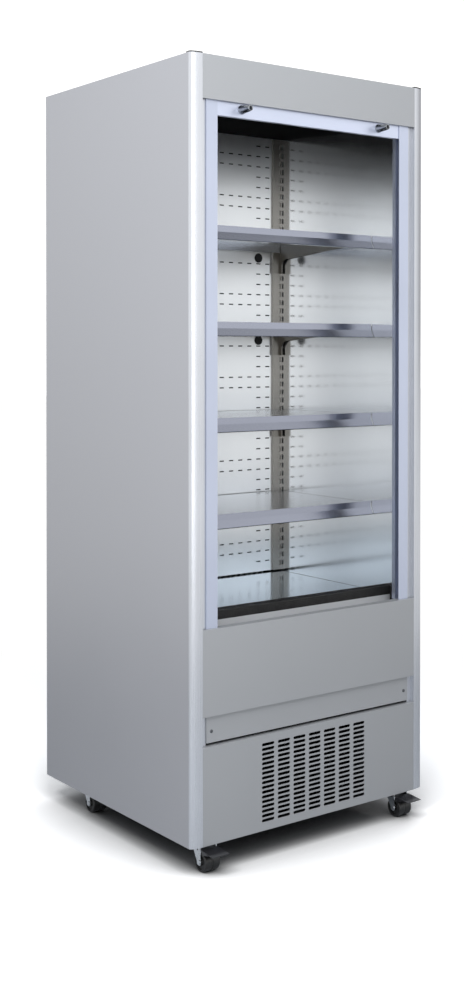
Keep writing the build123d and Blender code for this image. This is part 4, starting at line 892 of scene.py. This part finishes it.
@dataclass
class ColdSpace:
    """Liners, slotted back sheet, uprights, air outlet, lamp, sill and return air rail."""

    fridge: Fridge
    slot_length: float = 17 * MM
    slot_height: float = 3.5 * MM
    row_pitch: float = 31.25 * MM
    first_below: float = 56 * MM      # first row of slots below the top shelf
    first_above: float = 82 * MM      # first row of slots above it
    long_row: int = 9                 # slots on each side of the middle
    short_row: int = 2
    column_pitch: float = 34.5 * MM
    column_inset: float = 50 * MM     # outermost slot, from the side wall
    edge_margin: float = 8 * MM
    grommet_radius: float = 14 * MM
    grommet_inset: float = 85 * MM
    grommet_below: float = 38.5 * MM
    upright_width: float = 32 * MM
    upright_web: float = 2 * MM
    upright_slot: Point2 = (6.9 * MM, 16 * MM)    # width and height
    upright_slot_inset: float = 5.4 * MM
    upright_slot_pitch: float = 25 * MM
    first_upright_slot: float = 24.5 * MM         # above the deck
    rib_pitch: float = 5 * MM
    rib_size: Point2 = (1.4 * MM, 1 * MM)         # width, and depth as of the rail's grooves
    groove_face: float = 4 * MM       # grooved face of the rail, behind its foremost edge
    rib_rise: Point2 = (22 * MM, 1 * MM)          # foot and top, below the rail's top
    rib_free: float = 24 * MM         # length without ribs, both ends together

    def build(self) -> None:
        """Dress the cold space and add what repeats in it."""
        dress = self.fridge.dress
        dress(LINER_STEEL, "side_liners")
        dress(SILL_STEEL, "front_sill")
        # The ceiling panel's black is painted shade.
        dress(BLACK_SHEET_AND_CEILING_SHADE, "ceiling_panel")
        dress(BLACK_PLASTIC, "air_honeycomb", "return_air_grille")
        dress(BLACK_RUBBER, "cable_grommets")
        dress(OPAL, "led_lamp")
        dress(ANODISED_POST, "guide_posts")
        self.fridge.fit(self.back_sheet(), "cabinet", "perforated_back", slot="polished_steel")
        self.fridge.fit(self.rail_ribs(), "cabinet", slot="black_plastic")
        self.uprights()

    def slot_rows(self) -> list[tuple[float, int]]:
        """(z, slots on each side) of every row: pairs of long rows between pairs of short ones."""
        low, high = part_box("perforated_back")
        shelf = self.fridge.mount("shelf_1_top").z
        rows = []
        for start, step, long_ones in ((shelf + self.first_above, self.row_pitch, (1, 2)),
                                       (shelf - self.first_below, -self.row_pitch, (0, 3))):
            z, count = start, 0
            while low.z + self.edge_margin <= z <= high.z - self.edge_margin:
                rows.append((z, self.long_row if count % 4 in long_ones else self.short_row))
                z, count = z + step, count + 1
        return rows

    def slot_places(self) -> list[Point2]:
        """(x, z) of every air slot that doesn't cut into a grommet."""
        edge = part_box("perforated_back")[1].x
        reach = (self.grommet_radius + self.slot_length / 2, self.grommet_radius + self.slot_height)
        places = []
        for z, count in self.slot_rows():
            for column in range(count):
                x = edge - self.column_inset - self.column_pitch * column
                if all(abs(x - gx) > reach[0] or abs(z - gz) > reach[1]
                       for gx, gz in self.grommet_places()):
                    places += [(x, z), (-x, z)]
        return places

    def grommet_places(self) -> list[Point2]:
        """(x, z) of the cable grommets below each shelf."""
        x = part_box("perforated_back")[1].x - self.grommet_inset
        shelves = [self.fridge.mount(f"shelf_{i}_top").z for i in SHELVES]
        return [(side * x, z - self.grommet_below) for z in shelves for side in (-1, 1)]

    def back_sheet(self) -> Piece:
        """Stainless sheet with its air slots cut through."""
        low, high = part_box("perforated_back")
        middle = (low + high) / 2
        points = [(x - middle.x, z - middle.z, 0.0) for x, z in self.slot_places()]
        tree = slotted_sheet_tree(BACK_STEEL)
        sheet = tree.bake("slotted_back_sheet", points, {
            "Width": high.x - low.x, "Height": high.z - low.z, "Thickness": high.y - low.y,
            "Slot Length": self.slot_length, "Slot Height": self.slot_height,
        }, BACK_STEEL)
        sheet.data.transform(Matrix.Translation((middle.x, high.y, middle.z)))
        return sheet

    def uprights(self) -> None:
        """Two slotted channels in the rear corners: a pierced face, two webs back to the sheet."""
        low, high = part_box("uprights")
        width, half, web = self.upright_width, self.upright_width / 2, self.upright_web
        middle_z = (low.z + high.z) / 2
        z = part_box("deck_pan")[1].z + self.first_upright_slot
        slots = []
        while z < high.z - self.upright_slot_pitch / 2:
            slots.append(z - middle_z)
            z += self.upright_slot_pitch
        tree = slotted_sheet_tree(UPRIGHT_STEEL)
        sizes = {"Width": width, "Height": high.z - low.z, "Thickness": web,
                 "Slot Length": self.upright_slot[0], "Slot Height": self.upright_slot[1]}
        mesh = bmesh.new()
        for side in (1, -1):
            slot_x = side * (half - self.upright_slot_inset)
            face = tree.bake("upright_face", [(slot_x, up, 0.0) for up in slots], sizes,
                             UPRIGHT_STEEL)
            place = Matrix.Translation((side * (high.x - half), low.y + web, middle_z))
            face.data.transform(place)
            mesh.from_mesh(face.data)
            bpy.data.objects.remove(face)
            for inner in (high.x - width, high.x - web):
                ends = sorted((side * inner, side * (inner + web)))
                add_box(mesh, (ends[0], low.y + web, low.z), (ends[1], high.y, high.z))
        piece = to_object("slotted_uprights", mesh, UPRIGHT_STEEL)
        self.fridge.fit(piece, "cabinet", "uprights", slot="polished_steel")

    def rail_ribs(self) -> Piece:
        """Fine upright ribs that cross the grooves in the return air rail's front."""
        low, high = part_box("return_air_grille")
        width, depth = self.rib_size
        bottom, top = (high.z - drop for drop in self.rib_rise)
        count = int((high.x - low.x - self.rib_free) / self.rib_pitch)
        y = low.y + self.groove_face + depth / 2
        points = [(x, y, (top + bottom) / 2) for x in row_of(count, self.rib_pitch)]
        return repeated_box_tree("rail_ribs", BLACK_PLASTIC).bake(
            "return_rail_ribs", points, {"Size": (width, depth, top - bottom)}, BLACK_PLASTIC)


@dataclass
class Shelving:
    """Four shelves on hooked brackets, and the deck."""

    fridge: Fridge

    def build(self) -> None:
        """Dress shelves, brackets and deck."""
        # The shelves' ticket lips carry painted shade in a darker lilac grey.
        self.fridge.dress(SHELF_STEEL, *(f"shelf_{i}" for i in SHELVES))
        self.fridge.dress(BRACKET_STEEL, "shelf_brackets")
        # The deck's blue tint is a painted reflection.
        self.fridge.dress(DECK_STEEL, "deck_pan")


@dataclass(frozen=True)
class KnobShape:
    """Turned shape of a pull knob, from its base on the bar to its tip."""

    tip: float = 0.652                # radius of the tip, and of the hole in it, as shares of
    hole: float = 0.40                # the base's
    rolled: float = 0.93              # share of a radius that a rolled edge leaves
    flare: float = 1.25               # of the hole's mouth
    rim: float = 1.2 * MM             # straight edge of the base
    shoulder: float = 2.4 * MM        # from the base to where the taper starts
    tip_edge: float = 1.6 * MM        # from where the taper ends to the tip
    tip_roll: float = 0.4 * MM
    hole_roll: float = 0.8 * MM
    hole_depth: float = 16 * MM

    def section(self, base: float, length: float) -> list[Point2]:
        """(radius, height) points from the base to the bottom of the hole.

        Args:
            base: Radius of the base.
            length: From the base to the tip.

        Returns:
            The points, in order along the surface.
        """
        tip, hole, waist = base * self.tip, base * self.hole, base * self.rolled
        taper = length - self.shoulder - self.tip_edge
        points = [(0, 0), (base, 0), (base, self.rim), (waist, self.shoulder)]
        points += [(waist + (tip - waist) * s, self.shoulder + taper * s) for s in (0.5, 1.0)]
        return points + [(tip * self.rolled, length - self.tip_roll), (hole * self.flare, length),
                         (hole, length - self.hole_roll), (hole, length - self.hole_depth),
                         (0, length - self.hole_depth)]


@dataclass
class NightBlind:
    """Roller, wound cloth, free cloth, pull bar and knobs."""

    fridge: Fridge
    cloth: float = 0.35 * MM
    turns: int = 9
    steps: int = 28                   # of a turn
    wind_gap: float = 0.1 * MM        # between the roller and the first turn
    wound_sharp_deg: float = 60.0
    free_rows: int = 40
    knob: KnobShape = KnobShape()
    knob_steps: int = 40

    def build(self) -> None:
        """Build the cloth and the knobs, and dress the rest."""
        self.fridge.dress(ANODISED_BAR, "blind_bar", "blind_roller")
        self.fridge.dress(ZINC_SHEET, "roller_brackets")
        self.fridge.fit(self.wound_cloth(), "blind_roller", "blind_roll", slot="blind_cloth")
        self.free_cloth()
        self.fridge.fit(self.knobs(), "blind_bar", "blind_knobs", slot="knob")

    def wound_cloth(self) -> Piece:
        """Cloth wound on the roller as one spiral strip."""
        low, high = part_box("blind_roll")
        centre = (low + high) / 2
        outer = (high.z - low.z) / 2 - self.cloth
        inner = (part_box("blind_roller")[1].z - centre.z) + self.wind_gap
        count = self.turns * self.steps
        mesh = bmesh.new()
        rows = []
        for i in range(count + 1):
            turn = math.tau * i / self.steps
            radius = inner + (outer - inner) * i / count
            y, z = centre.y + radius * math.cos(turn), centre.z + radius * math.sin(turn)
            rows.append([mesh.verts.new((x, y, z)) for x in (low.x, high.x)])
        for near, far in zip(rows, rows[1:]):
            mesh.faces.new((near[0], near[1], far[1], far[0]))
        piece = to_object("wound_blind_cloth", mesh, BLIND_WEAVE, self.wound_sharp_deg)
        return piece

    def free_cloth(self) -> Piece:
        """Free stretch from the roll to the bar, as one flat sheet; the real one lengthens as the
        bar drops.
        """
        low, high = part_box("blind_cloth")
        y = (low.y + high.y) / 2
        mesh = bmesh.new()
        grid = [
            [mesh.verts.new((x, y, high.z + (low.z - high.z) * i / self.free_rows))
             for x in (low.x, 0.0, high.x)]
            for i in range(self.free_rows + 1)
        ]
        for near, far in zip(grid, grid[1:]):
            for i in range(2):
                mesh.faces.new((near[i], near[i + 1], far[i + 1], far[i]))
        piece = to_object("free_blind_cloth", mesh, BLIND_WEAVE)
        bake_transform(piece)
        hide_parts("blind_cloth")
        return piece

    def knobs(self) -> Piece:
        """Tapered knobs with a rolled edge and a deep hole in the tip."""
        low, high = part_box("blind_knobs")
        base = (high.z - low.z) / 2
        x, z = high.x - base, (low.z + high.z) / 2
        section = self.knob.section(base, high.y - low.y)
        mesh = bmesh.new()
        for side in (-1, 1):
            add_lathe(mesh, section, facing_front((side * x, high.y, z)), self.knob_steps)
        return to_object("pull_knobs", mesh, TURNED_KNOB)


@dataclass
class Casters:
    """Four swivel casters; the front two have brake pedals."""

    fridge: Fridge
    names: tuple[str, ...] = ("front_left", "front_right", "rear_left", "rear_right")

    def build(self) -> None:
        """Dress the casters."""
        self.fridge.dress(ZINC_PLATE, "caster_plates", *(f"caster_fork_{n}" for n in self.names))
        self.fridge.dress(WHEEL_RUBBER, *(f"caster_wheel_{n}" for n in self.names))
        self.fridge.dress(PEDAL_STEEL, "brake_pedal_front_left", "brake_pedal_front_right")


@dataclass
class MachineRoom:
    """Refrigeration unit behind the grille, and the coil and fans under the deck."""

    fridge: Fridge

    def build(self) -> None:
        """Dress the unit."""
        dress = self.fridge.dress
        dress(BLACK_FINS, "condenser_coil")
        dress(MILL_FINS, "evaporator_coil")
        dress(BLACK_SHEET_AND_CEILING_SHADE, "condenser_fan_shroud", "fan_motors", "compressor")
        dress(ZINC_SHEET, "evaporator_fan_plate")
        dress(FAN_PLASTIC, "condenser_fan", "evaporator_fan_left", "evaporator_fan_right")
        dress(BLACK_RUBBER, "compressor_grommets")
        dress(COPPER, "pipework")
        dress(TRAY_PLASTIC, "condensate_tray", "electrical_box")


# ---- studio -------------------------------------------------------------------------
@dataclass(frozen=True)
class Lamp:
    """One rectangular soft lamp: its place, what it points at, its size and its power."""

    name: str
    place: Point
    target: Point
    size: Point2
    power: float
    mirrored: bool = False            # whether a gloss shows it

    def build(self) -> None:
        """Add the lamp."""
        data = bpy.data.lights.new(self.name, "AREA")
        data.shape = "RECTANGLE"
        data.size, data.size_y = self.size
        data.energy = self.power
        obj = bpy.data.objects.new(self.name, data)
        bpy.context.scene.collection.objects.link(obj)
        obj.location = self.place
        obj.visible_camera = False
        obj.visible_glossy = self.mirrored
        aim = Vector(self.target) - Vector(self.place)
        obj.rotation_mode = "QUATERNION"
        obj.rotation_quaternion = aim.to_track_quat("-Z", "Y")


@dataclass
class Studio:
    """Pale floor, white walls under a dimmer ceiling, soft lamps and the photograph's camera."""

    camera_place: Point = (-2.2172, -2.9573, 1.2791)
    yaw_deg: float = -36.711
    pitch_deg: float = -0.693
    focal_px: float = 1323.36
    image_px: tuple[int, int] = (464, 1000)
    horizon_px: float = 366.98        # row of the principal point in the photograph
    sensor: float = 36.0
    floor_size: float = 60.0
    floor_near: Point2 = (0.9, 1.2)   # the floor fades to plain white between these distances,
    floor_far: Point2 = (2.2, 4.5)    # near and far, each for the camera and for a reflection
    floor_mirrored: str = "cdd1d6"
    floor_seen: float = 2.1           # its colour for the camera; above 1, to be near white
    floor_bounce: str = "6c6a68"
    floor_sheen: float = 0.02
    floor_sheen_roughness: float = 0.12
    # The contact shadow is painted: ambient occlusion darkens the floor's own colour near the
    # fridge.
    contact: float = 0.5              # reach of the contact shadow
    contact_power: float = 1.3
    contact_samples: int = 24
    wall_glow: float = 1.26           # strength of the walls in a reflection; white is 1
    ceiling_from: Point2 = (0.42, 0.85)           # upward part of a direction that starts to
    ceiling_glow: float = 0.16                    # be dim, and that is fully so
    right_from: Point2 = (0.78, 0.98)             # the same to the right, not for the camera
    right_glow: float = 0.35
    room_tint: str = "f2f5fa"
    room_light: float = 0.40          # what matt surfaces get from all round
    lamps: tuple[Lamp, ...] = (
        Lamp("strip_front", (-0.5, -3.9, 1.8), (-0.4, 0.0, 1.4), (0.5, 3.4), 15.0, mirrored=True),
        Lamp("soft_box_above", (-0.8, -2.2, 3.7), (0.0, 0.0, 1.6), (2.4, 1.8), 62.0),
        Lamp("soft_box_left", (-2.4, -0.9, 3.1), (-0.4, -0.2, 1.9), (0.9, 0.9), 34.0),
        Lamp("soft_box_edge", (-1.3, -1.5, 0.95), (-0.39, -0.25, 0.9), (0.4, 1.7), 9.0),
    )

    def build(self) -> None:
        """Build floor, world, lamps and camera."""
        self.floor()
        self.world()
        for lamp in self.lamps:
            lamp.build()
        self.camera()

    def floor(self) -> None:
        """Large pale floor that keeps the shadow near the fridge and is plain white further off."""
        mesh = bmesh.new()
        bmesh.ops.create_grid(mesh, x_segments=1, y_segments=1, size=self.floor_size / 2)
        data = bpy.data.meshes.new("studio_floor")
        mesh.to_mesh(data)
        mesh.free()
        obj = bpy.data.objects.new("studio_floor", data)
        bpy.context.scene.collection.objects.link(obj)
        material = bpy.data.materials.new("pale_studio_floor")
        material.use_nodes = True
        tree = material.node_tree
        tree.nodes.clear()
        coords = add_node(tree, "ShaderNodeTexCoord").outputs["Object"]
        away = add_node(tree, "ShaderNodeVectorMath", {0: coords}, operation="LENGTH")
        path = add_node(tree, "ShaderNodeLightPath")
        camera = path.outputs["Is Camera Ray"]
        near, far_off = (add_node(tree, "ShaderNodeMath",
                                  {0: camera, 1: own - mirrored, 2: mirrored},
                                  operation="MULTIPLY_ADD").outputs[0]
                         for own, mirrored in (self.floor_near, self.floor_far))
        fade = add_node(tree, "ShaderNodeMapRange",
                        {"Value": away.outputs["Value"], "From Min": near, "From Max": far_off},
                        interpolation_type="SMOOTHERSTEP")
        seen = self.shown(tree, path)
        # Painted contact shadow: ambient occlusion scales the floor's colour down near the fridge.
        painted_contact_shade = add_node(tree, "ShaderNodeAmbientOcclusion", {"Distance": self.contact},
                        samples=self.contact_samples)
        depth = add_node(tree, "ShaderNodeMath", {0: painted_contact_shade.outputs["AO"], 1: self.contact_power},
                         operation="POWER")
        under = add_node(tree, "ShaderNodeVectorMath",
                         {0: (self.floor_seen,) * 3, "Scale": depth.outputs[0]}, operation="SCALE")
        other = add_node(tree, "ShaderNodeMix",
                         {0: seen, COLOUR_A: linear(self.floor_bounce),
                          COLOUR_B: linear(self.floor_mirrored)}, data_type="RGBA")
        tone = add_node(tree, "ShaderNodeMix",
                        {0: camera, COLOUR_A: other.outputs[COLOUR_OUT],
                         COLOUR_B: under.outputs[0]}, data_type="RGBA")
        matt = add_node(tree, "ShaderNodeBsdfDiffuse", {"Color": tone.outputs[COLOUR_OUT]})
        white = add_node(tree, "ShaderNodeEmission", {"Color": (1, 1, 1, 1), "Strength": 1.0})
        far = add_node(tree, "ShaderNodeMath", {0: fade.outputs[0], 1: seen}, operation="MULTIPLY")
        ground = add_node(tree, "ShaderNodeMixShader",
                          {0: far.outputs[0], 1: matt.outputs[0], 2: white.outputs[0]})
        gloss = add_node(tree, "ShaderNodeBsdfGlossy",
                         {"Color": (1, 1, 1, 1), "Roughness": self.floor_sheen_roughness})
        sheen = add_node(tree, "ShaderNodeMixShader",
                         {0: self.floor_sheen, 1: ground.outputs[0], 2: gloss.outputs[0]})
        add_node(tree, "ShaderNodeOutputMaterial", {"Surface": sheen.outputs[0]})
        data.materials.append(material)

    def shown(self, tree: Tree, path: bpy.types.Node) -> Socket:
        """1 for what the camera, a gloss or a glass sees, 0 for the light that matt things get."""
        seen = add_node(tree, "ShaderNodeMath",
                        {0: path.outputs["Is Camera Ray"], 1: path.outputs["Is Glossy Ray"]},
                        operation="MAXIMUM")
        return add_node(tree, "ShaderNodeMath",
                        {0: seen.outputs[0], 1: path.outputs["Is Transmission Ray"]},
                        operation="MAXIMUM").outputs[0]

    def world(self) -> None:
        """White walls under a dim ceiling, darker to the right but for the camera.

        Matt surfaces get a plain light from all round instead.
        """
        world = bpy.data.worlds.new("studio")
        bpy.context.scene.world = world
        world.use_nodes = True
        tree = world.node_tree
        tree.nodes.clear()
        way = add_node(tree, "ShaderNodeTexCoord").outputs["Generated"]
        parts = add_node(tree, "ShaderNodeSeparateXYZ", {"Vector": way})
        ceiling = add_node(tree, "ShaderNodeMapRange",
                           {"Value": parts.outputs["Z"], "From Min": self.ceiling_from[0],
                            "From Max": self.ceiling_from[1], "To Min": 1.0,
                            "To Max": self.ceiling_glow}, interpolation_type="SMOOTHSTEP")
        right = add_node(tree, "ShaderNodeMapRange",
                         {"Value": parts.outputs["X"], "From Min": self.right_from[0],
                          "From Max": self.right_from[1], "To Min": 1.0,
                          "To Max": self.right_glow}, interpolation_type="SMOOTHSTEP")
        path = add_node(tree, "ShaderNodeLightPath")
        flag = add_node(tree, "ShaderNodeMix",
                        {0: path.outputs["Is Camera Ray"], VALUE_A: right.outputs[0], VALUE_B: 1.0})
        dimmed = add_node(tree, "ShaderNodeMath", {0: ceiling.outputs[0], 1: flag.outputs[0]},
                          operation="MULTIPLY")
        walls = add_node(tree, "ShaderNodeMath", {0: dimmed.outputs[0], 1: self.wall_glow},
                         operation="MULTIPLY")
        light = add_node(tree, "ShaderNodeBackground",
                         {"Color": linear(self.room_tint), "Strength": self.room_light})
        white = add_node(tree, "ShaderNodeBackground",
                         {"Color": (1, 1, 1, 1), "Strength": walls.outputs[0]})
        mixed = add_node(tree, "ShaderNodeMixShader",
                         {0: self.shown(tree, path), 1: light.outputs[0], 2: white.outputs[0]})
        add_node(tree, "ShaderNodeOutputWorld", {"Surface": mixed.outputs[0]})

    def camera(self) -> None:
        """Camera fitted to the photograph."""
        data = bpy.data.cameras.new("photo_camera")
        data.sensor_width = self.sensor
        data.lens = self.focal_px / self.image_px[1] * self.sensor
        data.shift_y = -(self.image_px[1] / 2 - self.horizon_px) / self.image_px[1]
        obj = bpy.data.objects.new("photo_camera", data)
        bpy.context.scene.collection.objects.link(obj)
        obj.location = self.camera_place
        obj.rotation_euler = (math.radians(90 + self.pitch_deg), 0.0, math.radians(self.yaw_deg))
        bpy.context.scene.camera = obj
        bpy.context.scene.view_settings.view_transform = "Standard"


def main() -> None:
    """Build everything in order."""
    logging.basicConfig(level=logging.INFO, format="%(name)s: %(message)s")
    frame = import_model()
    fridge = Fridge(frame)
    for part in (OuterShell(fridge), FrontPanels(fridge), ColdSpace(fridge), Shelving(fridge),
                 NightBlind(fridge), Casters(fridge), MachineRoom(fridge)):
        part.build()
        LOG.info("built %s", type(part).__name__)
    Studio().build()


if __name__ == "__main__":
    main()
